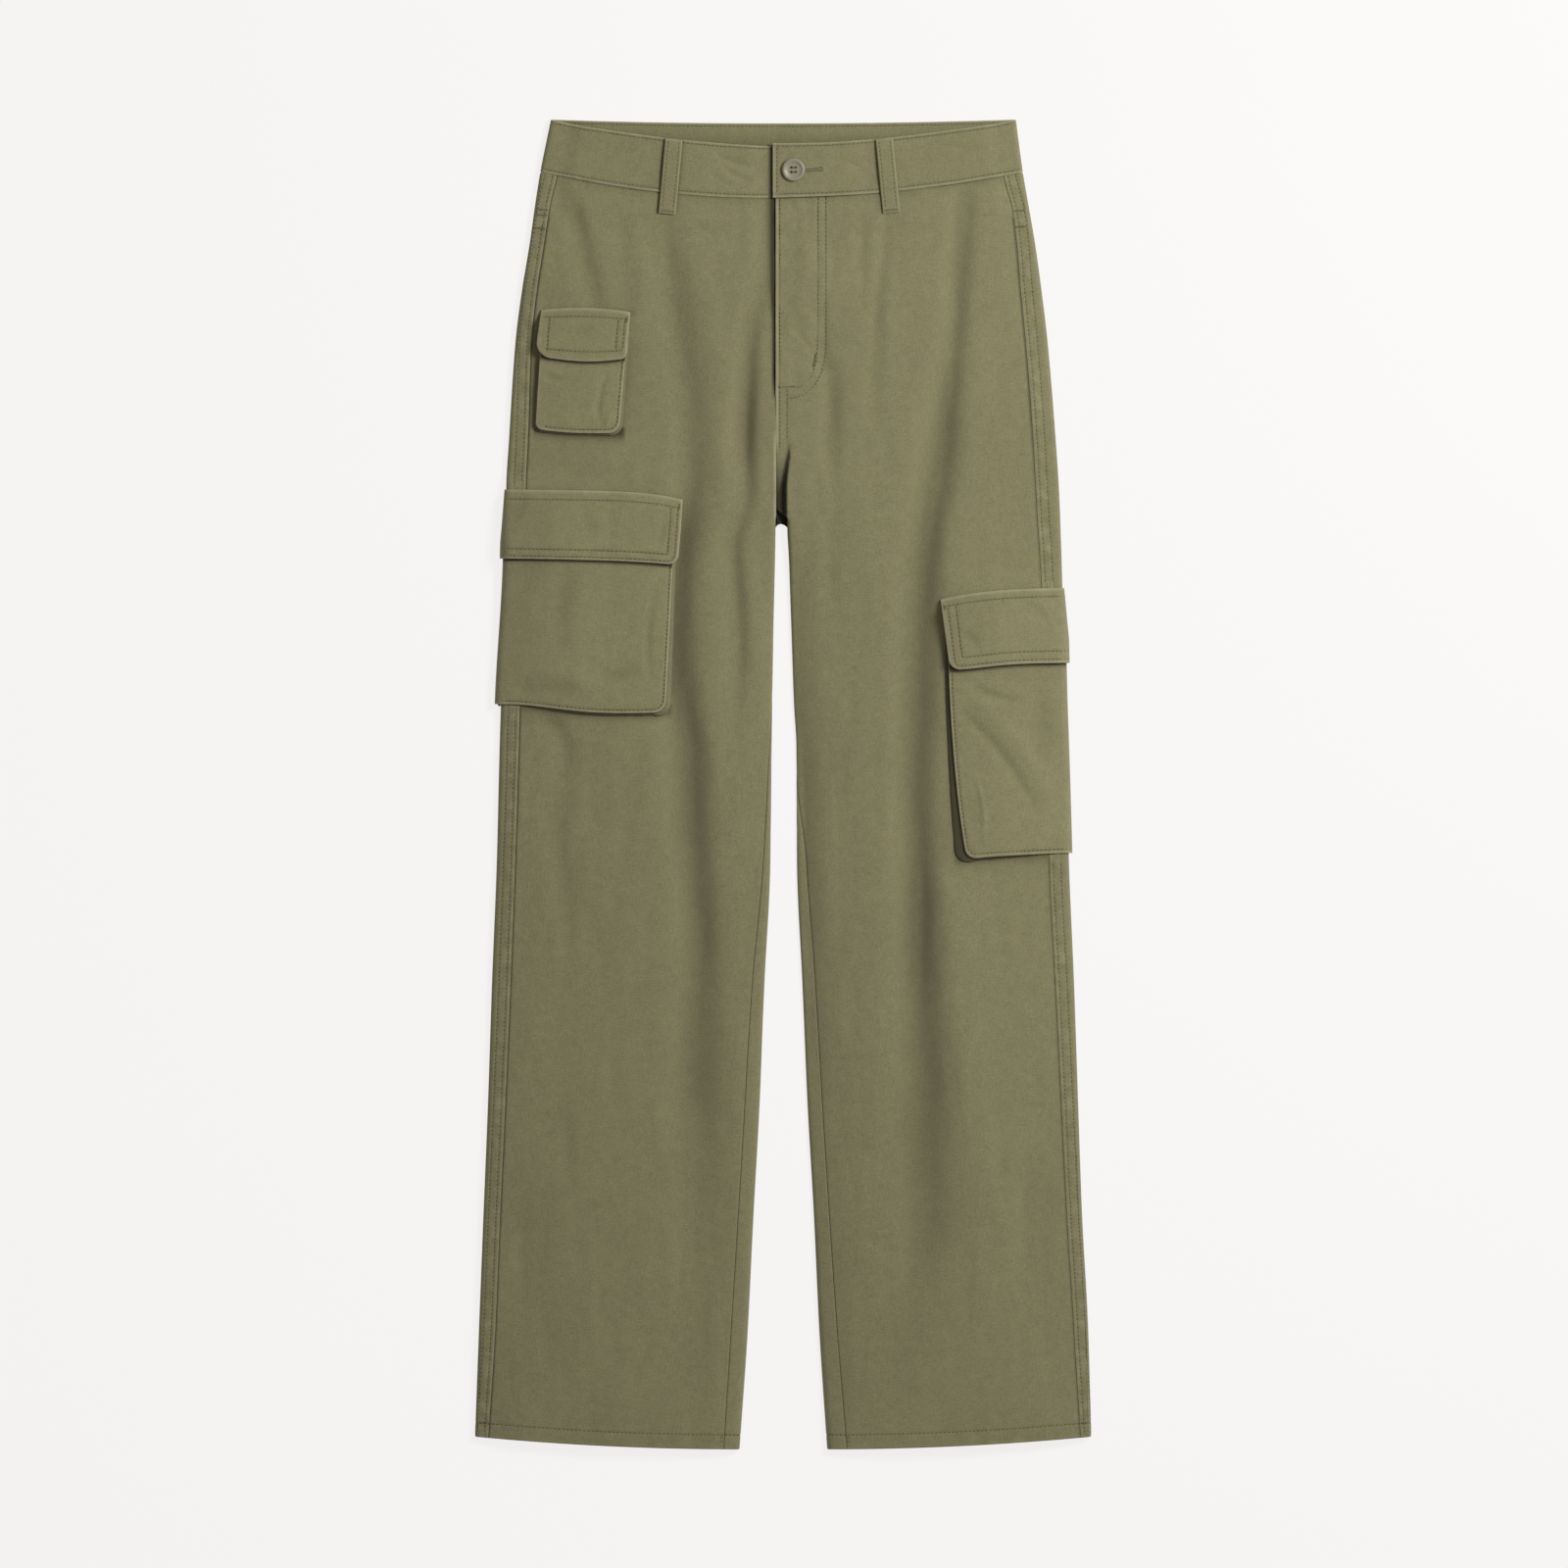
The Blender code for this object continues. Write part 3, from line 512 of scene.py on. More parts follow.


# Broad, cloud and grain are the cloth's unevenness as (scale, detail, share of the tone); slub is the
# thick and thin of its yarns as (scale across them, scale along them, share).
# the pale colour is that of wear and painted highlight on edges and ridges; deep is the colour of the painted
# shade
olive = dict(base=(0.212, 0.196, 0.102), paleWearAndHighlight=(0.335, 0.315, 0.192, 1), deep=(0.038, 0.034, 0.015, 1),
             broad=(14.0, 3.0, 0.14), cloud=(110.0, 5.0, 0.2), grain=(820.0, 3.0, 0.55),
             slub=(1500.0, 170.0, 0.34), twillPitch=0.95, twillWay=(0.86, -0.5, 0.5), twillWander=9.0,
             twillTone=0.05, twillRelief=0.35, grainRelief=1.1, reliefDepth=0.22, roughness=0.9, sheen=0.12)


def twillCloth(name, lighter=1.0, weave=1.0):
    made, tree, shader = freshMaterial(name)
    place = node(tree, "ShaderNodeTexCoord").outputs["Object"]
    broad, cloud, grain = (noise(tree, place, *olive[key][:2]) for key in ("broad", "cloud", "grain"))
    fine, coarse, slubShare = olive["slub"]
    slubs = []
    for stretch in ((fine, coarse, coarse), (coarse, fine, fine)):
        run = node(tree, "ShaderNodeVectorMath", {0: place, 1: stretch}, operation="MULTIPLY").outputs[0]
        slubs.append(noise(tree, run, 1.0, 2.0))
    turn = 2 * math.pi / (olive["twillPitch"] * mm)
    across = tuple(share * turn for share in olive["twillWay"])
    rib = node(tree, "ShaderNodeVectorMath", {0: place, 1: across}, operation="DOT_PRODUCT").outputs["Value"]
    rib = sums(tree, "ADD", rib, sums(tree, "MULTIPLY", cloud, olive["twillWander"]))
    rib = sums(tree, "SINE", rib, 0.0)
    level = sums(tree, "MULTIPLY", sums(tree, "SUBTRACT", broad, 0.5), olive["broad"][2])
    for source, middle, share in ((cloud, 0.5, olive["cloud"][2]), (grain, 0.5, olive["grain"][2]),
                                  (slubs[0], 0.5, slubShare), (slubs[1], 0.5, slubShare),
                                  (rib, 0.0, olive["twillTone"])):
        away = sums(tree, "SUBTRACT", source, middle)
        level = sums(tree, "ADD", level, sums(tree, "MULTIPLY", away, share))
    level = sums(tree, "MULTIPLY", sums(tree, "ADD", level, 1.0), lighter)
    colour = scaled(tree, olive["base"], level)
    # per point: paler wear with painted highlight, then painted shade towards the deep colour from the crease
    # attribute
    crease, wearAndHighlight = (node(tree, "ShaderNodeAttribute", attribute_name=label).outputs["Fac"]
                    for label in ("crease", "wearAndHighlight"))
    paleWearAndHighlight = sums(tree, "MULTIPLY", wearAndHighlight, sums(tree, "ADD", sums(tree, "MULTIPLY", cloud, 1.0), 0.25))
    colour = blended(tree, paleWearAndHighlight, colour, olive["paleWearAndHighlight"])
    colour = blended(tree, crease, colour, olive["deep"])
    relief = sums(tree, "ADD", sums(tree, "MULTIPLY", rib, olive["twillRelief"] * weave),
                  sums(tree, "MULTIPLY", grain, olive["grainRelief"]))
    bump = node(tree, "ShaderNodeBump",
                {"Height": relief, "Strength": 0.55, "Distance": olive["reliefDepth"] * mm})
    fill(tree, shader, {
        "Base Color": colour, "Normal": bump.outputs[0], "Sheen Weight": olive["sheen"],
        "Roughness": between(tree, grain, olive["roughness"] - 0.08, olive["roughness"] + 0.06),
        "Sheen Roughness": 0.6, "Specular IOR Level": 0.25})
    return made


def plainFinish(name, colour, roughness, scale, variation, bumpSize=0.1, specular=0.4):
    made, tree, shader = freshMaterial(name)
    place = node(tree, "ShaderNodeTexCoord").outputs["Object"]
    speckle = noise(tree, place, scale, 4.0)
    colour = scaled(tree, colour, between(tree, speckle, 1 - variation, 1 + variation))
    bump = node(tree, "ShaderNodeBump", {"Height": speckle, "Strength": 0.4, "Distance": bumpSize * mm})
    fill(tree, shader, {"Base Color": colour, "Normal": bump.outputs[0], "Roughness": roughness,
                        "Specular IOR Level": specular})
    return made


bodyTwill = twillCloth("olive_twill")
bandTwill = twillCloth("olive_twill_band", 0.99)
pocketTwill = twillCloth("olive_twill_pockets", 1.05)
pocketing = twillCloth("olive_pocketing", 0.85, 0.3)
threadFinish = plainFinish("olive_thread", (0.098, 0.090, 0.046), 0.75, 2500, 0.25)
barFinish = plainFinish("olive_bar_thread", (0.165, 0.153, 0.083), 0.75, 2500, 0.25)
hornFinish = plainFinish("grey_olive_horn", (0.238, 0.222, 0.156), 0.42, 260, 0.18, 0.05, 0.5)
tapeFinish = plainFinish("zip_tape", (0.12, 0.115, 0.065), 0.85, 1400, 0.25)
teethFinish = plainFinish("zip_teeth", (0.30, 0.26, 0.16), 0.35, 900, 0.1)
print("materials ready")


def inScene(name, data):
    made = bpy.data.objects.new(name, data)
    bpy.context.scene.collection.objects.link(made)
    return made


def riding(name, mesh):
    made = inScene(name, mesh)
    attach(made, "root")
    return made


def standsFor(made, solid):
    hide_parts(solid)
    return made


def upwards(points):
    return np.zeros_like(points) + (0, 0, 1)


# the crease attribute carries painted shade, and the second attribute paler wear with painted highlight
def linked(name, points, faces, material, crease=None, wearAndHighlight=None):
    mesh = bpy.data.meshes.new(name)
    mesh.from_pydata(points.reshape(-1, 3).tolist(), [], faces.tolist())
    mesh.materials.append(material)
    mesh.shade_smooth()
    for label, values in (("crease", crease), ("wearAndHighlight", wearAndHighlight)):
        layer = mesh.attributes.new(label, "FLOAT", "POINT")
        if values is not None:
            layer.data.foreach_set("value", np.ascontiguousarray(values, np.float32).ravel())
    return riding(name, mesh)


def gridFaces(rows, columns, closed=False):
    index = np.arange(rows * columns).reshape(rows, columns)
    if closed:
        index = np.concatenate([index, index[:, :1]], axis=1)
    return np.stack([index[:-1, :-1], index[1:, :-1], index[1:, 1:], index[:-1, 1:]], -1).reshape(-1, 4)


def lookInwards(points, faces, normals):
    # whether most of the faces look the other way than the normals
    corners = points.reshape(-1, 3)[faces]
    way = np.cross(corners[:, 1] - corners[:, 0], corners[:, 3] - corners[:, 0])
    return (way * normals.reshape(-1, 3)[faces[:, 0]]).sum() < 0


def facing(points, faces, normals):
    return faces[:, ::-1] if lookInwards(points, faces, normals) else faces


def clothPiece(solid, points, normals, material, crease=None, wearAndHighlight=None, closed=False):
    faces = facing(points, gridFaces(*points.shape[:2], closed), normals)
    return standsFor(linked(solid + "_cloth", points, faces, material, crease, wearAndHighlight), solid)


# A seam's edge turns under: how far in from the edge and how deep.
turnedUnder = np.array([(1.7, 0.0), (1.0, 0.05), (0.5, 0.17), (0.15, 0.4), (0.0, 0.75), (0.35, 1.1),
                        (3.5, 1.2)])


def evenly(start, end, count, last=0):
    # columns at even steps between two edges, the second edge among them if last is 1
    start, end = np.broadcast_arrays(start, end)
    return start[:, None] + (end - start)[:, None] * np.arange(1, count + last) / count


def columnsBetween(start, end, startOffsets, step, endOffsets):
    # columns at set distances from both edges and about evenly between them
    first, last = start + startOffsets[-1], end - endOffsets[0]
    count = max(2, int(round(float(np.max(last - first)) / step)))
    return np.concatenate([start[:, None] + np.array(startOffsets), evenly(first, last, count),
                           end[:, None] - np.array(endOffsets)], axis=1)


def roundedEnd(distance, reach):
    # how full a rounded edge is at a distance in from it
    return np.sqrt(1 - (1 - np.clip(distance / reach, 0, 1)) ** 2)


loop = dict(width=13.6, length=60.6, wall=1.6, backWall=1.2, backOut=95.0, stitch=4.3, arch=1.2, rounding=0.8,
            frontOut={"right": (86.3, 91.8), "left": (79.8, 85.6)}, shade=0.5, shadeReach=1.5)
stripRows = (3.4, 9.4)  # the double topstitching beside the side seam
flySeam = dict(edgeStitch=2.9, secondStitch=8.7, secondStart=205.0, seamEnd=262.0)
# The two curved rows of the fly: distance from its edge, and down.
flyRows = tuple(np.array(row, float) for row in (
    ((39.4, 43.5), (39.4, 169), (38.6, 180), (35.4, 194), (30.2, 203.5), (23.4, 210), (16.4, 213.4),
     (9.4, 214.4)),
    ((33.3, 43.5), (33.1, 160), (32.6, 172), (31.6, 184), (28.6, 194), (24.5, 200), (20.0, 203.6),
     (15.4, 205.4))))
hem = dict(height=11.4, turn=np.array([(1.6, 0.0), (0.7, 0.1), (0.2, 0.4), (0.0, 0.9), (0.2, 1.35),
                                       (1.0, 1.6), (12.0, 1.7)]))
underBand = dict(depth=1.0, start=42.8, end=44.4)  # the panels' tops step down under the band


def panelDowns(step):
    # the rows of a panel, closest at the crotch and the hem, and how deep the hem turns under
    start, stop = 36.0, length - 16
    crotch = np.arange(300, 326, 0.8)
    body = np.unique(np.concatenate([np.linspace(start, stop, int((stop - start) / step)), crotch]))
    low = length - np.array([15.0, 13.8, 12.9, 12.2, 11.8, 11.4, 11.0, 10.6, 9.9, 8.8, 7.4, 6.0, 4.6, 3.4,
                             2.5])
    downs = np.concatenate([body, low, length - hem["turn"][:, 0]])
    return downs, np.concatenate([0 * body, 0 * low, hem["turn"][:, 1]])


def panelGrid(downs, turnDepths, arounds):
    # down at each point of a panel, and how deep its edges and its hem turn under there
    across = np.zeros(arounds.shape[1])
    across[:len(turnedUnder)] = turnedUnder[::-1, 1]
    across[-len(turnedUnder):] = turnedUnder[:, 1]
    return np.broadcast_to(downs[:, None], arounds.shape), np.maximum(across[None, :], turnDepths[:, None])


def bandTuck(down):
    return underBand["depth"] * ramp(down, underBand["end"], underBand["start"])


def edgeShade(depth):
    # painted shade on the turned-under edges, which lie in the dark
    return 0.9 * np.clip((depth - 0.2) / 0.5, 0, 1)


def loopMiddle(side, down):
    topOut, footOut = loop["frontOut"][side]
    return topOut + (footOut - topOut) * down / loop["length"]


def besideLoop(side, out, down):
    # painted shadow of a front loop on the cloth beside it, on the left side only towards the middle
    away = out - loopMiddle(side, down)
    away = -away if side == "left" else np.abs(away)
    return loop["shade"] * fading(away - loop["width"] / 2, loop["shadeReach"]) * (away > 0)


def lowered(fall, share):
    # how much lower an edge runs at a share of the way to the near edge
    return np.polyval(np.polyfit((0, 0.25, 0.5, 0.75, 1), fall, 4), np.clip(share, 0, 1))


def besidePocket(side, out, down):
    # painted shadow of a pocket on the leg: beside its edges, above its flap and below its bottom
    shade = 0.0 * (out + down)
    outer = at(side, "outer", down)
    for pocket in pockets.values():
        if pocket.side == side:
            dark, near, far, footDark = pocket.shadow
            across = np.clip((outer - max(pocket.bagFar, 0) - out) / pocket.bagNear, 0, 1)
            head = pocket.flapTop + lowered(pocket.falls[0], across)
            foot = pocket.bagBottom + lowered(pocket.falls[2], across)
            top = pocket.flapTop + pocketMake["bagDrop"]
            low = np.clip((down - top) / (pocket.bagBottom - top), 0, 1) ** pocket.bend
            spill = pocket.spill[0] + (pocket.spill[1] - pocket.spill[0]) * low
            bag = pocket.bagNear + (pocket.bagNearLow - pocket.bagNear) * low
            bag = bag + pocketMake["gussetWidth"] * spill
            flapLow = (down - head) / (pocket.flapBottom - pocket.flapTop)
            flap = pocket.flapNear + (pocket.flapNearLow - pocket.flapNear) * flapLow - 200 * (flapLow > 1)
            edge = outer - np.maximum(bag, flap)
            rows = ramp(down, top - 6, top + 12) * ramp(down, foot + 3, foot - 2)
            shade = np.maximum(shade, dark * fading(edge - out, near) * rows)
            inPocket = ramp(edge - out, 3, 0)
            if pocket.bagFar > 0:
                farEdge = outer - pocket.bagFar
                shade = np.maximum(shade, far * fading(out - farEdge, 1.3) * (out > farEdge - 4) * rows)
                inPocket = inPocket * ramp(out - farEdge, 3, 0)
            below = nearLine(np.clip(down - foot, 0, None), 0, 5.0)
            shade = np.maximum(shade, footDark * below * inPocket * (down > foot - 6))
            above = fading(head - down, 1.6)
            shade = np.maximum(shade, pocketMake["topShade"] * above * inPocket * (down < head + 3))
    return shade


def nearPath(x, y, path):
    # distance from each place to a path of points
    best = np.full(np.shape(x), 1e9)
    for (ax, ay), (bx, by) in zip(path[:-1], path[1:]):
        run = (bx - ax) ** 2 + (by - ay) ** 2
        t = np.clip(((x - ax) * (bx - ax) + (y - ay) * (by - ay)) / max(run, 1e-9), 0, 1)
        best = np.minimum(best, np.hypot(x - ax - t * (bx - ax), y - ay - t * (by - ay)))
    return best


def frontStitches(side, down, fromEdge):
    # how deep the rows of stitches draw the front panel in
    rows = 0.7 * (0.26 * nearLine(down, length - hem["height"], 0.8))
    if side == "left":
        onSeam = ramp(down, flySeam["seamEnd"], flySeam["seamEnd"] - 10)
        rows = rows + 0.24 * onSeam * nearLine(fromEdge, flySeam["edgeStitch"], 0.7)
        second = 0.22 * onSeam * (down > flySeam["secondStart"])
        rows = rows + second * nearLine(fromEdge, flySeam["secondStitch"], 0.8)
        for path in flyRows:
            rows = rows + 0.28 * nearLine(nearPath(fromEdge, down, path), 0, 0.8)
    return rows


def frontPuckers(side, arounds, down, fromSeam, fromEdge):
    # little puckers beside the seams, and the fly's own unevenness
    edgeNear = fading(fromSeam, 4.0) + fading(length - down, 9.0) + 0.7 * fading(down - 44, 7.0)
    pucker = 0.2 * unevenness(arounds, down, 4.6, 21) * np.clip(edgeNear, 0, 1)
    if side == "left":
        onFly = ramp(fromEdge, 44, 36) * ramp(down, 225, 190)
        pucker = pucker + 0.45 * unevenness(arounds * 0.8, down * 0.5, 6.0, 31) * onFly
    return pucker


# The painted shade in the slit at the crotch: how wide it is at each distance down and where it ends, and
# where that painted shade lies on the back panels behind it.
slit = dict(downs=(252, 262, 280, 292, 300, 306), widths=(0.2, 1.2, 3.4, 5.4, 8.5, 10), end=(334, 322),
            backMiddle=-0.8, backHalf=(7.8, 6.4), backStart=(300, 306), backEnd=(332, 322))
# The painted shadow that the left front throws on the right one: how far past its edge it starts, how
# dark it is and how far it reaches, each at distances down.
flyShadow = dict(
    edge=6.7, start=((40, 120, 150, 206), (2.8, 2.5, 1.7, 1.2)), dark=((40, 195, 206, 218), (1, 1, 0.75, 0)),
    reach=((40, 87, 120, 150, 210), (3.0, 2.6, 1.7, 0.8, 0.7)), end=30)


def slitShade(points, down):
    # painted shade in the slit where the left front turns down between the legs
    inside = legFold(down) - np.where(points[..., 2] > 0, points[..., 0] / mm, 99)
    width = np.interp(down, slit["downs"], slit["widths"])
    line = ramp(inside, -0.3, 0.6) * ramp(inside, width + 3.0, width) * ramp(down, 250, 262)
    line = np.maximum(line, ramp(down, 260, 304) * ramp(inside, -0.3, 0.6))
    return line * ramp(down, *slit["end"])


def flyShade(out, down):
    # painted shadow of the left front's edge on the right front
    dark, start, reach = (np.interp(down, *flyShadow[key]) for key in ("dark", "start", "reach"))
    past = np.clip(out - flyShadow["edge"] - start, 0, None)
    return dark * np.exp(-past / reach) * (down > 36) * (out < flyShadow["end"])


def frontPanel(side):
    downs, turnDepths = panelDowns(2.3)
    start = at(side, "sideSeam", downs) + foldSlack
    end = girth(side, downs) - at(side, "inseam", downs)
    end = end + (5.0 * ramp(downs, 212, 203) if side == "right" else 0.7 * ramp(downs, 290, 262))
    nearEdge = list(turnedUnder[::-1, 0]) + [2.6, 3.8, 5.2]
    atRow = [2.3 + x for x in (0.9, 0.4, 0, -0.4)]
    inward = sorted(set(atRow + [
        42, 41, 40.3, 39.6, 38.9, 38, 36.5, 35, 34.1, 33.4, 32.7, 31.6, 30, 28, 26, 24, 22, 20, 18, 16, 14,
        12.4, 11, 10.1, 9.3, 8.5, 7.4, 6, 4.8, 3.8, 3.1]), reverse=True)
    arounds = columnsBetween(start, end, nearEdge, 2.5, inward + list(turnedUnder[:, 0]))
    grid, depth = panelGrid(downs, turnDepths, arounds)
    fromSeam, fromEdge = arounds - start[:, None], end[:, None] - arounds
    groove = frontStitches(side, grid, fromEdge)
    pucker = frontPuckers(side, arounds, grid, fromSeam, fromEdge)
    points, normals = outside(side, arounds, grid, pucker - groove - depth - bandTuck(grid))
    out = np.abs(points[..., 0]) / mm
    fromBand = np.clip(grid - trousers["bandHeight"], 0, None)
    # painted shade in the side pocket's opening beside the seam
    opened = ramp(grid, 73, 78) * (0.58 - 0.28 * ramp(grid, 230, 300))  # the side pocket's opening
    # painted shade in the creases, along the rows of stitches, on the turned edges and in the slit, and
    # painted shadows of the pockets, the loops, the fly and the band
    shade = np.clip(creaseDepth(side, out, grid) / 9.0, 0, 1) ** 1.3 * 0.36 + 0.45 * np.clip(groove, 0, 1)
    for part in (besidePocket(side, out, grid), besideLoop(side, out, grid) * ramp(grid, 61, 58),
                 slitShade(points, grid) if side == "left" else flyShade(out, grid),
                 edgeShade(depth), opened * ramp(fromSeam, 1.9, 0.9),
                 0.42 * ramp(fromBand, 2.6, 1.2), 0.1 * ramp(fromBand, 8, 3)):
        shade = np.maximum(shade, part)
    # paler wear and painted highlight along the hem's fold, just below the band, on the fly's edge and on the
    # right leg's edge at the crotch
    paleWearAndHighlight = 0.6 * nearLine(grid, length, 1.4) + 0.3 * nearLine(fromBand, 3.4, 0.6)
    rim = 1.2 * nearLine(fromEdge, 0.9, 1.2)
    paleWearAndHighlight = paleWearAndHighlight + rim * (ramp(grid, 262, 246) if side == "left" else
                         ramp(grid, 240, 256) * ramp(grid, 322, 314))
    return clothPiece("front_leg_" + side, points, normals, bodyTwill, shade, paleWearAndHighlight * (depth < 0.5))


# At the crotch the back panels lap over each other a little off the middle. Start is how far out each
# one's edge lies, slipped how far it moves over on the way down, and arch how it then meets the inseam.
seatSeam = dict(start={"right": 1.0, "left": -1.6}, slipped={"right": 0.0, "left": 1.5}, slipDown=(306, 313),
                archTop=319.6, archHeight=4.6, archReach=4.8, end=323, lapRise=0.1)


def seatOverlap(side, down, fromEdge):
    arch = roundedEnd(down - seatSeam["archTop"], seatSeam["archHeight"])
    slipped = seatSeam["slipped"][side] * ramp(down, *seatSeam["slipDown"]) * (1 - arch)
    wanted = seatSeam["start"][side] - slipped + seatSeam["archReach"] * arch
    overlap = np.clip(at(side, "inner", down) - wanted, 0, None) * (down < seatSeam["end"])
    return overlap * ramp(down, 240, 280) * ramp(fromEdge, 14, 1.5)


def backPanel(side):
    downs, turnDepths = panelDowns(1.15)
    start = at(side, "sideSeam", downs) + foldSlack
    end = -(girth(side, downs) + at(side, "inseam", downs))
    strip = np.array([2.3, 2.9, 3.4, 3.9, 4.6, 5.6, 6.6, 7.6, 8.5, 9.0, 9.4, 9.8, 10.4])
    first = start - strip[-1]
    toFold = first[:, None] + (foldArc * 0.9 - first)[:, None] * np.array([0.35, 0.7, 1.0])
    fold = np.linspace(foldArc * 0.6, -foldArc, 7) + 0 * downs[:, None]
    last = end + turnedUnder[0, 0]
    bend = np.maximum(-(girth(side, downs) - foldArc), last + 0.4)
    inward = bend[:, None] + (last - bend)[:, None] * np.array([0.2, 0.4, 0.6, 0.8])
    arounds = np.concatenate([
        start[:, None] - turnedUnder[::-1, 0], start[:, None] - strip, toFold, fold,
        evenly(-foldArc, bend, 26, 1), inward, end[:, None] + turnedUnder[:, 0]], axis=1)
    grid, depth = panelGrid(downs, turnDepths, arounds)
    fromSeam = start[:, None] - arounds
    groove = 0.28 * nearLine(fromSeam, stripRows[0], 0.6) + 0.28 * nearLine(fromSeam, stripRows[1], 0.6)
    groove = groove + 0.26 * nearLine(grid, length - hem["height"], 0.8)
    ripple = 0.22 * unevenness(arounds * 0.7, grid, 3.6, 3) + 0.14 * unevenness(arounds * 0.5, grid, 8.0, 33)
    ripple = ripple * np.clip(nearLine(fromSeam, 6.2, 3.6) + 0.6 * nearLine(fromSeam, 1.4, 1.2), 0, 1)
    pucker = ripple + 0.15 * unevenness(arounds, grid, 5.0, 24) * ramp(fromSeam, 16, 4)
    pucker = pucker * (fromSeam < 18)
    points, normals = outside(side, arounds, grid, pucker - groove - depth - bandTuck(grid))
    keptUp(points)
    overlap = seatOverlap(side, grid, arounds - end[:, None])
    points[..., 0] -= sign[side] * overlap * mm
    points[..., 2] += seatSeam["lapRise"] * overlap * mm * (side == "right")
    # painted shade on the turned edges, in the puckers' hollows, along the stitches and in the slit behind
    # the crotch
    shade = edgeShade(depth) + 0.1 * ramp(ripple, 0.0, -0.2) + 0.2 * np.clip(groove, 0, 1)
    away = np.abs(points[..., 0] / mm - slit["backMiddle"])
    inSlit = ramp(grid, *slit["backStart"]) * ramp(away, *slit["backHalf"]) * ramp(grid, *slit["backEnd"])
    shade = np.clip(np.maximum(shade, inSlit), 0, 1)
    # paler wear and painted highlight beside the seam, on the puckers' crests and on the hem's fold
    paleWearAndHighlight = 0.25 * nearLine(fromSeam, 0.7, 0.7) + 0.4 * ramp(ripple, 0.02, 0.2)
    paleWearAndHighlight = paleWearAndHighlight + 0.6 * nearLine(grid, length, 1.4)
    return clothPiece("back_leg_" + side, points, normals, bodyTwill, shade, paleWearAndHighlight * (depth < 0.5))


legs = {}
for side in sign:
    legs["front", side] = frontPanel(side)
    legs["back", side] = backPanel(side)
print("legs ready")

# The band folds over at its top: its rows run from under its lower edge up the outer face, over
# the top and down the inner face. Each is (down, depth).
band = dict(stitchDown=(2.4, 40.3), endReach=1.4, endStitch=3.6, frontColumns=150, underColumns=60)


def bandRows():
    height = trousers["bandHeight"]
    foot = ((4, 2.1), (0.9, 2.0), (0.3, 1.6), (0, 1.0), (0.1, 0.5), (0.5, 0.14), (1.1, 0))
    fold = ((0.8, 0.06), (0.35, 0.25), (0.08, 0.65), (0.0, 1.2), (0.08, 1.75), (0.35, 2.15), (0.8, 2.34))
    outer = [41.5, 40.9, 40.5, 40.1, 39.7, 39.1, *np.linspace(38.0, 4.2, 26), 3.4, 2.8, 2.4, 2.0, 1.5]
    inner = [1.5, 2.0, 2.4, 2.8, 3.4, *np.linspace(5, 38, 12)]
    return np.array([(height - up, deep) for up, deep in foot] + [(d, 0) for d in outer] + list(fold)
                    + [(d, trousers["bandWall"]) for d in inner] + [(41.0, 2.3)])


def waistband(side):
    downs, layer = bandRows().T
    whole = girth(side, downs)
    end = whole + (trousers["bandLap"] if side == "right" else trousers["bandPast"])
    tail = end[:, None] - np.array([0, 0.12, 0.4, 0.8, 1.3, 2.0, 3.0, 3.6, 4.0, 4.4, 5.2, 6.4])
    fold = np.linspace(foldArc, -foldArc, 9) + 0 * downs[:, None]
    tip = -whole[:, None] + np.array([1.0, 0.5, 0.2, 0.06, 0.0])
    arounds = np.concatenate([tail, evenly(tail[:, -1], foldArc, band["frontColumns"]), fold,
                              evenly(-foldArc, 1.3 - whole, band["underColumns"]), tip], axis=1)
    grid = np.broadcast_to(downs[:, None], arounds.shape)
    fromEnd = end[:, None] - arounds
    closing = roundedEnd(fromEnd, band["endReach"]) * (1 - 0.1 * fading(arounds + whole[:, None], 0.5))
    middle = trousers["bandWall"] / 2
    depth = middle + (layer[:, None] - middle) * closing
    top, low = band["stitchDown"]
    groove = 0.26 * nearLine(grid, top, 0.6) + 0.26 * nearLine(grid, low, 0.6)
    if side == "left":
        groove = groove + 0.2 * nearLine(fromEnd, band["endStitch"], 0.6)
    pucker = 0.14 * unevenness(arounds, grid, 4.2, 41) * (nearLine(grid, 2.4, 5) + nearLine(grid, 39.6, 5))
    outerFace = layer[:, None] < 1.2
    relief = np.where(outerFace, pucker - groove, groove * 0.8 - pucker * 0.6)
    points, normals = outside(side, arounds, grid, relief - depth, True)
    normals = np.where(outerFace[..., None], normals, -normals)
    # paler wear and painted highlight along the top fold, the lower edge and the lapped end
    paleWearAndHighlight = 0.85 * nearLine(grid, 0.3, 0.75) + 1.0 * nearLine(grid, 42.5, 0.8)
    if side == "left":
        paleWearAndHighlight = paleWearAndHighlight + 1.1 * nearLine(fromEnd, 0.9, 1.1)
    # painted shade along the rows of stitches, inside the back of the band, beside the loops and beside the
    # lapped end
    shade = 0.45 * groove + 0.07 * (nearLine(grid, top, 1.5) + nearLine(grid, low, 1.6))
    hollow = 0.05 + 0.24 * ramp(downs, 5, 18)
    shade = np.maximum(shade, (hollow * (layer > 1.8))[:, None])
    out = centre[side] + (whole[:, None] - arounds) * (arounds > 0)
    shade = np.maximum(shade, besideLoop(side, out, grid) * (arounds > foldArc) * outerFace)
    if side == "right":  # beside the lapped end
        shade = np.maximum(shade, 0.95 * ramp(arounds - whole[:, None], -7.6, -4.4) * outerFace)
    return clothPiece("waistband_" + side, keptUp(points), normals, bandTwill, shade, paleWearAndHighlight)


bands = {side: waistband(side) for side in sign}
print("waistband ready")


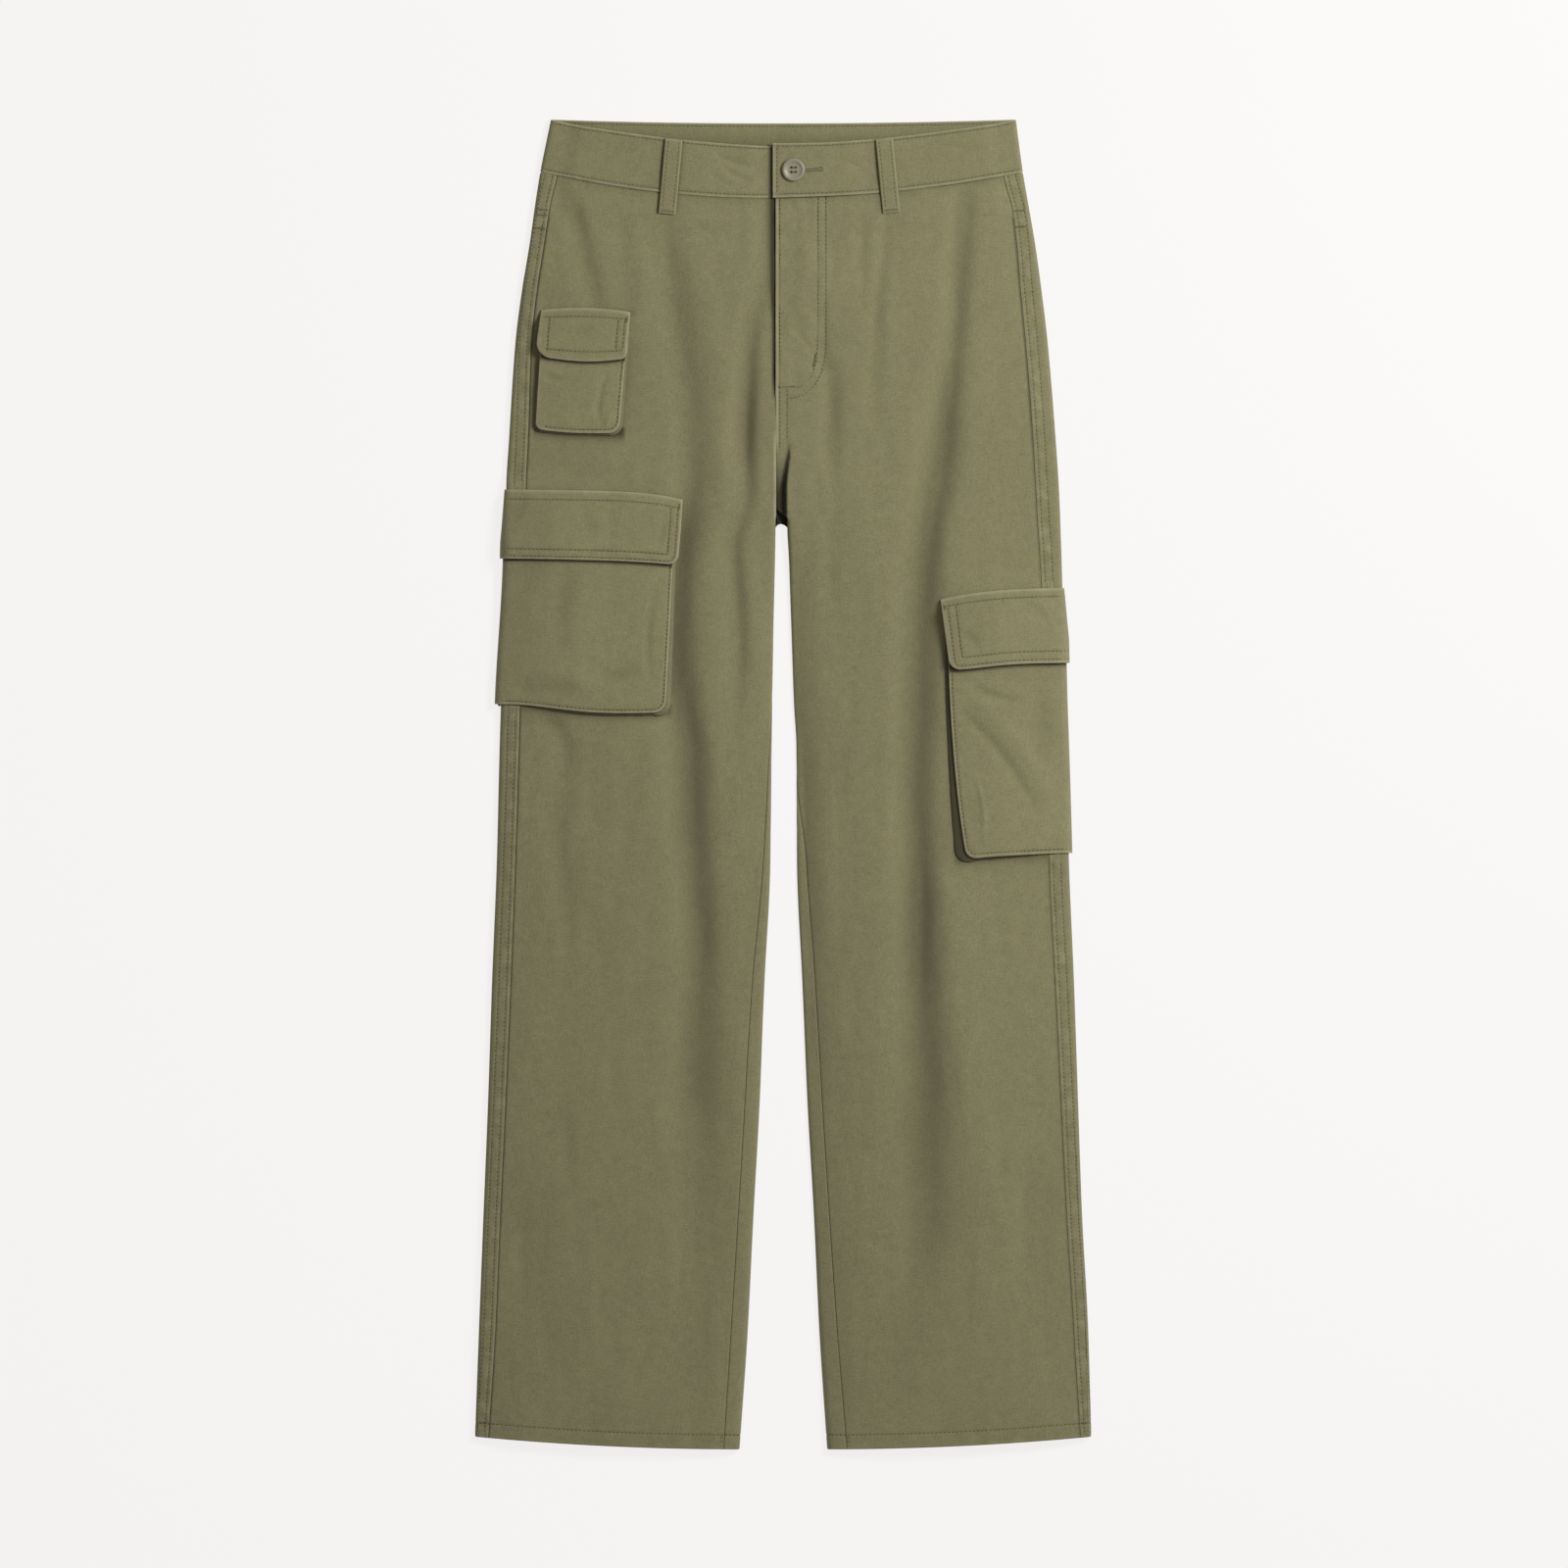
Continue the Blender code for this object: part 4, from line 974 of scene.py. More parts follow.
def loopSection():
    # a belt loop is a flat tube of cloth: its section is (share of the half width, share of the wall)
    top = [(x, 1.0) for x in (-0.9, -0.8, -0.7, -0.64, -0.58, -0.45, -0.2, 0, 0.2, 0.45, 0.58, 0.64, 0.7, 0.8,
                              0.9)]
    foot = [(x, 0.0) for x in (0.85, 0.3, -0.3, -0.85)]
    return np.array([(-1.0, 0.45), (-0.975, 0.8), *top, (0.975, 0.8), (1.0, 0.45), (0.97, 0.12), *foot,
                     (-0.97, 0.12)]).T


def loopForm(middles, downs):
    # where a loop's points lie across, how thick it is there, and how far they are from its ends
    section, wall = loopSection()
    ends = np.minimum(downs - downs[0], downs[-1] - downs)
    thick = 0.5 + (wall - 0.5) * roundedEnd(ends, loop["rounding"])[:, None]
    across = middles[:, None] + section * loop["width"] / 2
    return across, thick, ends


def loopPiece(name, points, paleWearAndHighlight):
    return clothPiece(name, points, points - points.mean(axis=1, keepdims=True), bandTwill, None, paleWearAndHighlight, True)


def loopHeights(side, downs):
    # over the band's edges and what lies under it, a little arched
    steps = np.array([0.6, 3.0, 12.0, 28.0, 41.0, 45.0, 50.0, loop["length"]])
    middles = loopMiddle(side, steps)
    under = np.max([np.where(down < trousers["bandHeight"], topHeight(side, middles + shift, down, True),
                             topHeight(side, middles + shift, down))
                    for shift in (-8, 0, 8) for down in (steps, steps + 3)], axis=0)
    arch = loop["arch"] * np.sin(math.pi * np.minimum(steps / 45, 1))
    return np.interp(downs, steps, under + 0.4 + loop["wall"] + arch)


def frontLoop(side):
    downs = np.linspace(0.4, loop["length"], 46)
    section, wall = loopSection()
    across, thick, ends = loopForm(loopMiddle(side, downs), downs)
    groove = 0.22 * (np.abs(np.abs(section) - 0.64) < 0.03) * (wall == 1.0)
    level = loopHeights(side, downs)[:, None] - loop["wall"] * (1 - thick) - groove
    # paler wear and painted highlight on the loop's folded sides and ends
    paleWearAndHighlight = 0.9 * nearLine(np.abs(section), 1, 0.08) * (wall > 0.3) + 0.5 * nearLine(ends, 0, 1.2)[:, None]
    points = placed(side, across, downs[:, None] + 0 * across, level, True)
    return loopPiece("belt_loop_front_" + side, points, paleWearAndHighlight)


def backLoop(name, middle):
    downs = np.linspace(1.0, loop["length"], 30)
    across, thick, _ = loopForm(np.full(30, middle), downs)
    along = placed("right" if middle < 0 else "left", np.full(30, abs(middle)), downs, 0 * downs, False)[:, 1]
    points = np.stack([across * mm, along[:, None] + 0 * across, (1 - thick) * loop["backWall"] * mm], -1)
    # paler wear and painted highlight on the loop's folded sides
    paleWearAndHighlight = 0.9 * nearLine(np.abs(loopSection()[0]), 1, 0.08) + 0 * across
    return loopPiece("belt_loop_back_" + name, points, paleWearAndHighlight)


loops = {"front_" + side: frontLoop(side) for side in sign}
for name, middle in (("right", -loop["backOut"]), ("center", -centre["right"]), ("left", loop["backOut"])):
    loops["back_" + name] = backLoop(name, middle)
print("belt loops ready")

# Rims of a flap and of a bag: how far out from the outline and how far below the face. A bag's
# side folds in and out again as a bellows.
flapRim = ((0.35, 0.12), (0.6, 0.45), (0.68, 0.95), (0.55, 1.45), (0.2, 1.75), (-1.2, 1.9), (-4.5, 1.95))
bagRim = ((0.3, 0.1), (0.5, 0.4), (0.5, 0.9), (0.1, 1.4), (-0.3, 1.7), (1.2, 2.3), (2.9, 2.75), (3.7, 3.2),
          (3.9, 3.6), (3.4, 4.1), (1.8, 4.5))
# Soft dents in the bags and flaps: from one point to another, each (in from the near edge, down).
dents = {
    "thigh_pocket_left_bag": (
        Wrinkle(1.4, 4.5, (6, 461), (63, 553)), Wrinkle(1.3, 3.6, (58, 459), (18, 444)),
        Wrinkle(-1.0, 7.0, (18, 452), (72, 536)), Wrinkle(1.4, 9.0, (66, 440), (68, 512)),
        Wrinkle(0.8, 3.0, (80, 553), (94, 558)), Wrinkle(-0.9, 1.8, (15, 512), (15, 568))),
    "thigh_pocket_left_flap": (
        Wrinkle(0.8, 4.0, (14, 400), (24, 414)), Wrinkle(0.8, 5.0, (66, 382), (84, 396))),
    "thigh_pocket_right_bag": (
        Wrinkle(1.4, 6.0, (20, 430), (66, 446)), Wrinkle(1.2, 8.0, (80, 352), (84, 420)),
        Wrinkle(0.8, 3.0, (11, 360), (12, 440)), Wrinkle(1.0, 6.0, (60, 448), (118, 452)),
        Wrinkle(-1.2, 9.0, (34, 446), (110, 440))),
    "thigh_pocket_right_flap": (
        Wrinkle(0.7, 7.0, (74, 300), (70, 332)), Wrinkle(0.6, 3.0, (11, 308), (14, 338))),
    "hip_pocket_bag": (
        Wrinkle(1.0, 2.2, (13, 196), (16, 236)), Wrinkle(0.8, 2.5, (63, 201), (46, 203)),
        Wrinkle(-0.8, 3.0, (4, 226), (12, 238))),
    "hip_pocket_flap": (Wrinkle(0.5, 6.0, (24, 168), (46, 172)),),
}
# Rows of stitches, each in from the edge that it follows, and the corners at the near and far sides.
Finish = namedtuple("Finish", "flapTop flapNear flapLow flapFar bagNear bagLow bagFar flapCorners bagCorners")
finishes = {
    "hip_pocket": Finish(5.8, (3.0, 8.4), (6.6,), (8.0,), (1.8,), (2.4,), (), (5, 11), (8, 4.5)),
    "thigh_pocket_right": Finish(7.0, (2.6, 8.2), (1.6, 7.2), (), (1.6,), (2.0,), (), (8, 8), (9, 9)),
    "thigh_pocket_left": Finish(6.0, (4.4, 10.6), (2.4, 9.0), (), (2.0,), (2.6,), (), (8, 8), (8, 8)),
}


class PocketPart:
    # one flap or bag, laid out by p, in from its near edge, and q, down

    def __init__(self, name, kind):
        pocket, finish = pockets[name], finishes[name]
        self.pocket, self.finish, self.name, self.isFlap = pocket, finish, name + "_" + kind, kind == "flap"
        self.wraps = pocket.bagFar < 0
        if self.isFlap:
            self.top, self.bottom, far = pocket.flapTop, pocket.flapBottom, pocket.flapFar
            self.near, self.corners = (pocket.flapNear, pocket.flapNearLow), finish.flapCorners
        else:
            self.top = pocket.flapTop + pocketMake["bagDrop"]
            self.bottom, far = pocket.bagBottom, pocket.bagFar
            self.near, self.corners = (pocket.bagNear, pocket.bagNearLow), finish.bagCorners
        self.base = foldArc if self.wraps else far + foldSlack
        self.far = far if self.wraps else far + foldSlack

    def share(self, q):
        # how far down it is, as the slant of the near edge goes
        share = np.clip((q - self.top) / (self.bottom - self.top), 0, 1)
        return share if self.isFlap else share ** self.pocket.bend

    def edge(self, q):
        return self.near[0] + (self.near[1] - self.near[0]) * self.share(q) + foldSlack

    def bagHeight(self, around, q):
        pocket = self.pocket
        if not self.wraps:
            return pocket.puff + 0 * around
        full = ramp(around, foldArc - 4, foldArc + pocketMake["wrapReach"])
        standsOut = pocket.sidePuff * ramp(q, pocket.flapBottom, pocket.bagBottom)
        standsOut = standsOut * ramp(np.abs(around), foldArc, 0)
        return pocketMake["bagFlat"] + (pocket.puff - pocketMake["bagFlat"]) * full + standsOut

    def spot(self, p, q):
        # around, down and height of the outer face
        pocket = self.pocket
        edge = self.edge(q)
        around = edge - p
        height = self.bagHeight(around, q)
        top = around > foldArc
        if self.isFlap:
            slower = 30 * ramp(around, foldArc + 16, foldArc - 2) if self.wraps else 0
            rise = pocketMake["bagDrop"] - 5 + slower
            over = np.clip((q - pocket.flapTop) / rise, 0, 1)
            height = pocketMake["flapFlat"] * (0.6 + 0.4 * over) + over * height
            height = height + pocketMake["flapFlare"] * ramp(q, self.bottom - 22, self.bottom) * top
        fromNear, fromLow, fromFold = (np.clip(away / 30, 0, 1)
                                       for away in (p, self.bottom - q, around - foldArc))
        dome = fromNear * fromLow * fromFold
        height = height + (0.5 if self.isFlap else 0.9) * np.sin(dome * math.pi / 2)
        height = height - self.dented(p, q) * top
        share = (around - self.base) / (edge - self.base)
        first, middle, last = (lowered(fall, share) for fall in pocket.falls)
        low = np.clip((q - pocket.flapTop) / (pocket.flapBottom - pocket.flapTop), 0, 1)
        lower = np.clip((q - pocket.flapBottom) / (pocket.bagBottom - pocket.flapBottom), 0, 1)
        return around, q + first + (middle - first) * low + (last - middle) * lower, height

    def dented(self, p, q):
        return sum([wrinkleDepth(dent, p, q) for dent in dents.get(self.name, ())], 0 * p)

    def fromFar(self, p, edge):
        # how far in from the far side; a wrapping pocket has none in sight
        return 1e3 + 0 * p if self.wraps else edge - self.base - p

    def fromOutline(self, p, q):
        # how far in from the outline, following its rounded corners
        fromBottom, fromFar = self.bottom - q, self.fromFar(p, self.edge(q))
        side = np.minimum(p, fromFar)
        r = np.where(p < fromFar, *self.corners)
        rounded = r - np.hypot(r - np.minimum(side, r), r - np.minimum(fromBottom, r))
        return np.where((side < r) & (fromBottom < r), rounded, np.minimum(side, fromBottom))

    def surface(self, p, q, height=0.0):
        around, down, face = self.spot(p, q)
        return outside(self.pocket.side, around, down, face + height, calm=True)

    def stitchRows(self):
        # each row of stitches as a path of (in from the near edge, down)
        finish = self.finish
        nears, lows, fars = ((finish.flapNear, finish.flapLow, finish.flapFar) if self.isFlap else
                             (finish.bagNear, finish.bagLow, finish.bagFar))
        start = self.top + (finish.flapTop + 1 if self.isFlap else 0.5)
        farEnd = float(self.edge(self.bottom)) - (self.far + 3 if self.wraps else self.base)
        quarter = np.linspace(0, math.pi / 2, 8)
        paths = []
        for k, near in enumerate(nears):
            foot = self.bottom - lows[min(k, len(lows) - 1)]
            r = max(self.corners[0] - near, 0.6)
            path = [(near, d) for d in np.linspace(start, foot - r, 16)]
            path += [(near + r * (1 - math.cos(t)), foot - r * (1 - math.sin(t))) for t in quarter]
            if k < len(lows):
                path += [(x, foot) for x in np.linspace(near + r + 1, farEnd - (0 if self.wraps else 6), 60)]
            paths.append(path)
        for far in fars:
            paths.append([(farEnd - far, d) for d in np.linspace(start, self.bottom - 4, 16)])
        if self.isFlap:
            top = self.top + finish.flapTop
            paths.append([(x, top) for x in np.linspace(1.2, farEnd - (0 if self.wraps else 1.2), 80)])
        return paths

    def layout(self):
        # rows down and columns in from the near edge; they end higher at the rounded corners
        inset = [0, 0.25, 0.7, 1.2, 1.6, 2.0, 2.6, 3.6, 4.8, 6.0, 7.0, 7.6, 8.0, 8.4, 9.2]
        height = self.bottom - self.top
        qs = np.concatenate([np.linspace(self.top, self.bottom - 10.4, max(6, int(height / 1.6))),
                             self.bottom - np.array(inset[::-1])])
        if self.isFlap:
            extra = self.top + np.array([0.3, 0.8, 5.9, 6.3, 6.6, 6.9, 7.3])
            qs = np.unique(np.round(np.concatenate([qs, extra]), 3))
        edge = self.edge(qs)
        width = edge - self.base
        stop = width - (0 if self.wraps else inset[-1])
        count = max(8, int(float(np.mean(stop - inset[-1])) / 1.5))
        columns = [np.array(inset) + 0 * width[:, None], evenly(inset[-1], stop, count, 1)]
        if self.wraps:
            fold, under = np.linspace(foldArc, -foldArc, 9), np.linspace(-foldArc, self.far, 18)
            columns.append(edge[:, None] - np.concatenate([fold[1:], under[1:]]))
        else:
            columns.append(width[:, None] - np.array(inset[-2::-1]))
        p = np.concatenate(columns, axis=1)
        fromFar = self.fromFar(p, edge[:, None])
        r = np.where(p < fromFar, *self.corners)
        side = np.minimum(np.clip(np.minimum(p, fromFar), 0, None), r)
        drop = r - np.sqrt(np.clip(r * r - (r - side) ** 2, 0, None))
        return p, self.top + (qs[:, None] - self.top) * (self.bottom - drop - self.top) / height

    def freeEdge(self, rows, columns):
        # the grid's points along the outline: all round a flap, but open at the top of a bag
        index = np.arange(rows * columns).reshape(rows, columns)
        line = [*index[:, 0], *index[-1, 1:], *index[-2::-1, -1]]
        return np.array(line + (list(index[0, -2:0:-1]) if self.isFlap else []))

    def bellows(self, around, down, height, across, along):
        # how flat a bag's side is pressed, and how far it shows at each side
        outs = at(self.pocket.side, "outer", down) - foldRound(np.abs(around))[0]
        dip = np.where(around > 0, creaseDepth(self.pocket.side, outs, down), 0)
        squeeze = np.clip(height - 0.25 + 0.8 * dip, 0.4, None) / pocketMake["bagDeepest"]
        nearTop, nearLow, far, low = self.pocket.spill
        near = nearTop + (nearLow - nearTop) * self.share(down)
        spill = near * np.clip(across, 0, 1) + far * np.clip(-across, 0, 1) + low * np.clip(along, 0, 1)
        return squeeze, spill * np.clip((squeeze - 0.35) / 0.65, 0.1, 1)

    def rimRings(self, around, down, height, face):
        # the rings of points that follow the outline under, with how pale each is from wear and painted
        # highlight and how dark from painted shade
        if self.isFlap:
            stepAround, stepDown = (np.roll(line, -1) - np.roll(line, 1) for line in (around, down))
        else:
            stepAround, stepDown = np.gradient(around), np.gradient(down)
        size = np.maximum(np.hypot(stepAround, stepDown), 1e-9)
        across, along = stepDown / size, -stepAround / size
        if ((around - around.mean()) * across + (down - down.mean()) * along).sum() < 0:
            across, along = -across, -along
        squeeze = spill = np.ones(len(around))
        if not self.isFlap:
            squeeze, spill = self.bellows(around, down, height, across, along)
        gusset = 0.65 + (self.pocket.gusset - 0.65) * np.clip(across, 0, 1)
        rings, paleWearAndHighlight, shade = [], [], []
        for reach, deep in flapRim if self.isFlap else bagRim:
            shift = reach * (spill if abs(reach) > 0.7 else 1.0)
            ring, _ = outside(self.pocket.side, around + across * shift, down + along * shift,
                              face - deep * squeeze, calm=True)
            rings.append(keptUp(ring))
            # the outermost rings paler for wear and painted highlight; the deeper rings and the bellows with
            # painted shade
            paleWearAndHighlight.append(np.full(len(ring), 0.9 if deep < 0.6 else 0.0))
            shade.append(gusset if 2.2 < deep < 4 else np.full(len(ring), 0.0 if deep < 0.8 else 0.85))
        return rings, paleWearAndHighlight, shade

    def build(self, material):
        p, q = self.layout()
        around, down, height = self.spot(p, q)
        distance = self.fromOutline(p, q)
        groove = 0 * p
        for path in self.stitchRows():
            groove = np.maximum(groove, 0.28 * nearLine(nearPath(p, q, np.array(path)), 0, 0.9))
        seamed = np.exp(-distance / 7) + 0.8 * self.isFlap * np.exp(-(q - self.top) / 8)
        pucker = 0.22 * unevenness(around, down, 3.9, 51) * seamed + 0.2 * unevenness(around, down, 16, 52)
        soft = np.where(around > foldArc, 1.0, 0.0)
        face = height + (pucker - groove) * soft - 0.28 * np.exp(-distance / 0.7) * soft
        points, normals = outside(self.pocket.side, around, down, face, calm=True)
        # paler wear and painted highlight along the outline and the flap's top; painted shade along the
        # stitches, below the flap's top, in the flap's shadow and in the dents, a little painted light on
        # raised dents
        paleWearAndHighlight = 1.0 * np.exp(-distance / 1.0) * (around > -foldArc)
        shade = 0.2 * np.clip(groove / 0.28, 0, 1) * soft
        if self.isFlap:
            paleWearAndHighlight = paleWearAndHighlight + 0.7 * nearLine(q, self.top + 0.4, 0.8)
            shade = shade + 0.07 * ramp(q - self.top, 14, 9) * ramp(q - self.top, 1.4, 2.6)
        else:  # in the shadow of the flap
            under = q - self.pocket.flapBottom
            shade = shade + 0.2 * ramp(under, 6.5, 2.0) + 0.7 * ramp(under, 3.2, 2.0)
        shade = shade + 0.11 * np.clip(self.dented(p, q), -0.4, None) * soft
        line = self.freeEdge(*p.shape)
        onLine = (values.ravel()[line] for values in (around, down, height, face))
        rings, ringWearAndHighlight, ringShade = self.rimRings(*onLine)
        index = np.stack([line] + [p.size + k * len(line) + np.arange(len(line)) for k in range(len(rings))])
        if self.isFlap:
            index = np.concatenate([index, index[:, :1]], axis=1)
        quads = np.stack([index[:-1, :-1], index[:-1, 1:], index[1:, 1:], index[1:, :-1]], -1).reshape(-1, 4)
        allPoints = np.concatenate([points.reshape(-1, 3)] + rings)
        if lookInwards(allPoints, quads[:index.shape[1] - 1], normals):
            quads = quads[:, ::-1]
        faces = np.concatenate([facing(points, gridFaces(*p.shape), normals), quads])
        shade, paleWearAndHighlight = np.concatenate([shade.ravel()] + ringShade), np.concatenate([paleWearAndHighlight.ravel()] + ringWearAndHighlight)
        return standsFor(linked(self.name + "_cloth", allPoints, faces, material, shade, paleWearAndHighlight), self.name)


pocketParts = {name + "_" + kind: PocketPart(name, kind) for name in pockets for kind in ("bag", "flap")}
pocketCloth = {name: part.build(pocketTwill) for name, part in pocketParts.items()}
print("pockets ready")

# The button's profile is (share of its radius, share of its height), round its rim from the face.
button = dict(width=18.4, height=2.6, out=8.2, down=39.6, holeRadius=1.0, holeOut=1.8, sides=64, holeSides=16,
              faceRadius=0.50, faceHeight=0.62, clear=0.3,
              profile=((0.50, 0.62), (0.60, 0.66), (0.68, 0.82), (0.76, 0.97), (0.84, 1.0), (0.92, 0.94),
                       (0.98, 0.76), (1.0, 0.5), (0.96, 0.25), (0.86, 0.06), (0.7, 0.0), (0.50, 0.0)))


def piercedFace():
    # the sunken face with its four holes, as a filled curve turned into a mesh
    r, h, apart = button["width"] / 2, button["height"], button["holeOut"]
    flat = bpy.data.curves.new("button_face", "CURVE")
    flat.dimensions, flat.fill_mode = "2D", "BOTH"
    rings = [(0, 0, button["faceRadius"] * r, button["sides"])]
    for x, y in ((-1, -1), (-1, 1), (1, -1), (1, 1)):
        rings.append((apart * x, apart * y, button["holeRadius"], button["holeSides"]))
    for cx, cy, radius, steps in rings:
        spline = flat.splines.new("POLY")
        spline.points.add(steps - 1)
        spline.use_cyclic_u = True
        for k, spot in enumerate(spline.points):
            angle = 2 * math.pi * k / steps
            spot.co = (cx + radius * math.cos(angle), cy + radius * math.sin(angle), 0, 1)
    flat.extrude = button["faceHeight"] / 2 * h
    face = inScene("button_face", flat)
    mesh = bpy.data.meshes.new_from_object(face.evaluated_get(bpy.context.evaluated_depsgraph_get()))
    bpy.data.objects.remove(face, do_unlink=True)
    return mesh


def waistButton(seat):
    # a turned rim round the pierced face
    r, h, count = button["width"] / 2, button["height"], button["sides"]
    joined = bmesh.new()
    joined.from_mesh(piercedFace())
    bmesh.ops.translate(joined, verts=joined.verts, vec=(0, 0, button["faceHeight"] / 2 * h))
    turn = np.arange(count) * 2 * math.pi / count
    rings = [[joined.verts.new((x * r * math.cos(t), x * r * math.sin(t), z * h)) for t in turn]
             for x, z in button["profile"]]
    for a, b in zip(rings[:-1], rings[1:]):
        for k in range(count):
            joined.faces.new((a[k], b[k], b[(k + 1) % count], a[(k + 1) % count]))
    bmesh.ops.remove_doubles(joined, verts=joined.verts, dist=0.02)
    bmesh.ops.scale(joined, vec=(mm, mm, mm), verts=joined.verts)
    place = (button["out"] * mm, (length / 2 - button["down"]) * mm, seat * mm)
    bmesh.ops.translate(joined, verts=joined.verts, vec=place)
    bmesh.ops.recalc_face_normals(joined, faces=joined.faces)
    mesh = bpy.data.meshes.new("waist_button_horn")
    joined.to_mesh(mesh)
    joined.free()
    mesh.materials.append(hornFinish)
    mesh.shade_smooth()
    mesh.set_sharp_from_angle(angle=math.radians(50))
    standsFor(riding("waist_button_horn", mesh), "waist_button")


buttonDown = button["down"] - trousers["waistDip"] * (1 - button["down"] / trousers["waistDipEnd"])
buttonSeat = float(topHeight("left", np.array(button["out"]), np.array(buttonDown), True)) + button["clear"]
waistButton(buttonSeat)

sideBag = dict(reach=(14.0, 100.0), down=(84.0, 215.0), wall=1.0, panelWall=1.2, gap=0.3, uneven=0.12)
sideBags = {}
for side in sign:
    downs = np.linspace(*sideBag["down"], 50)[:, None]
    out = at(side, "outer", downs) - np.linspace(*sideBag["reach"], 34)
    height = lift(side, out, downs, trousers["liftRamp"]) + sideBag["panelWall"] + sideBag["gap"]
    height = height + sideBag["wall"] + sideBag["uneven"] * unevenness(out, downs, 14, 61)
    points = placed(side, out, downs + 0 * out, height, False)
    sideBags[side] = clothPiece("side_pocket_bag_" + side, points, upwards(points), pocketing)

# The tape is thicker between its two cords, given as shares of its width.
zipper = dict(half=11.0, centre=5.8, chain=0.4, cords=(0.3, 0.7), panelWall=2.4, gap=0.3,
              toothLevel=3.1, toothPitch=2.1, toothShift=1.1, tooth=(1.7, 0.42, 0.6))
downs = np.linspace(trousers["bandHeight"] + 1, trousers["flyEnd"], 60)[:, None]
shares = np.array([0.0, 0.1, 0.2, 0.27, 0.31, 0.45, 0.55, 0.69, 0.73, 0.8, 0.9, 1.0])
out = zipper["centre"] + (2 * shares - 1) * zipper["half"]
thicker = (shares >= zipper["cords"][0]) & (shares <= zipper["cords"][1])
level = lift("left", out, downs, trousers["liftRamp"]) + zipper["panelWall"] + zipper["gap"]
points = placed("left", out, downs + 0 * out, level + zipper["chain"] * thicker, True)
faces = facing(points, gridFaces(*points.shape[:2]), upwards(points))
zipTape = standsFor(linked("fly_zip_tape", points, faces, tapeFinish), "fly_zip")
teeth, toothFaces = [], []
block = np.array([(x, y, z) for x in (-1, 1) for y in (-1, 1) for z in (0, 1)], float)
blockFaces = np.array([(0, 1, 3, 2), (4, 6, 7, 5), (0, 4, 5, 1), (2, 3, 7, 6), (0, 2, 6, 4), (1, 5, 7, 3)])
toothDowns = np.arange(trousers["bandHeight"] + 4, trousers["flyEnd"] - 2, zipper["toothPitch"] / 2)
for k, down in enumerate(toothDowns):
    out = np.array(zipper["centre"] + (zipper["toothShift"] if k % 2 else -zipper["toothShift"]))
    level = zipper["toothLevel"] + lift("left", zipper["centre"], down, trousers["liftRamp"])
    teeth.append(placed("left", out, down, level, True) + block * np.array(zipper["tooth"]) * mm)
    toothFaces.append(blockFaces + 8 * k)
zipTeeth = linked("fly_zip_teeth", np.concatenate(teeth), np.concatenate(toothFaces), teethFinish)
print("button, zip and pocket bags ready")

thread = dict(pitch=3.3, stitch=2.3, radius=0.3, rise=0.05, lowest=0.01, barStep=0.5, barRadius=0.26,
              barRise=0.1)


def walk(path, step=1.1, count=None):
    # places at even steps along a path of points
    path = np.array(path, float)
    walked = np.concatenate([[0], np.cumsum(np.hypot(*np.diff(path, axis=0).T))])
    fine = np.linspace(0, walked[-1], count or max(8, int(walked[-1] / step)))
    return np.interp(fine, walked, path[:, 0]), np.interp(fine, walked, path[:, 1])


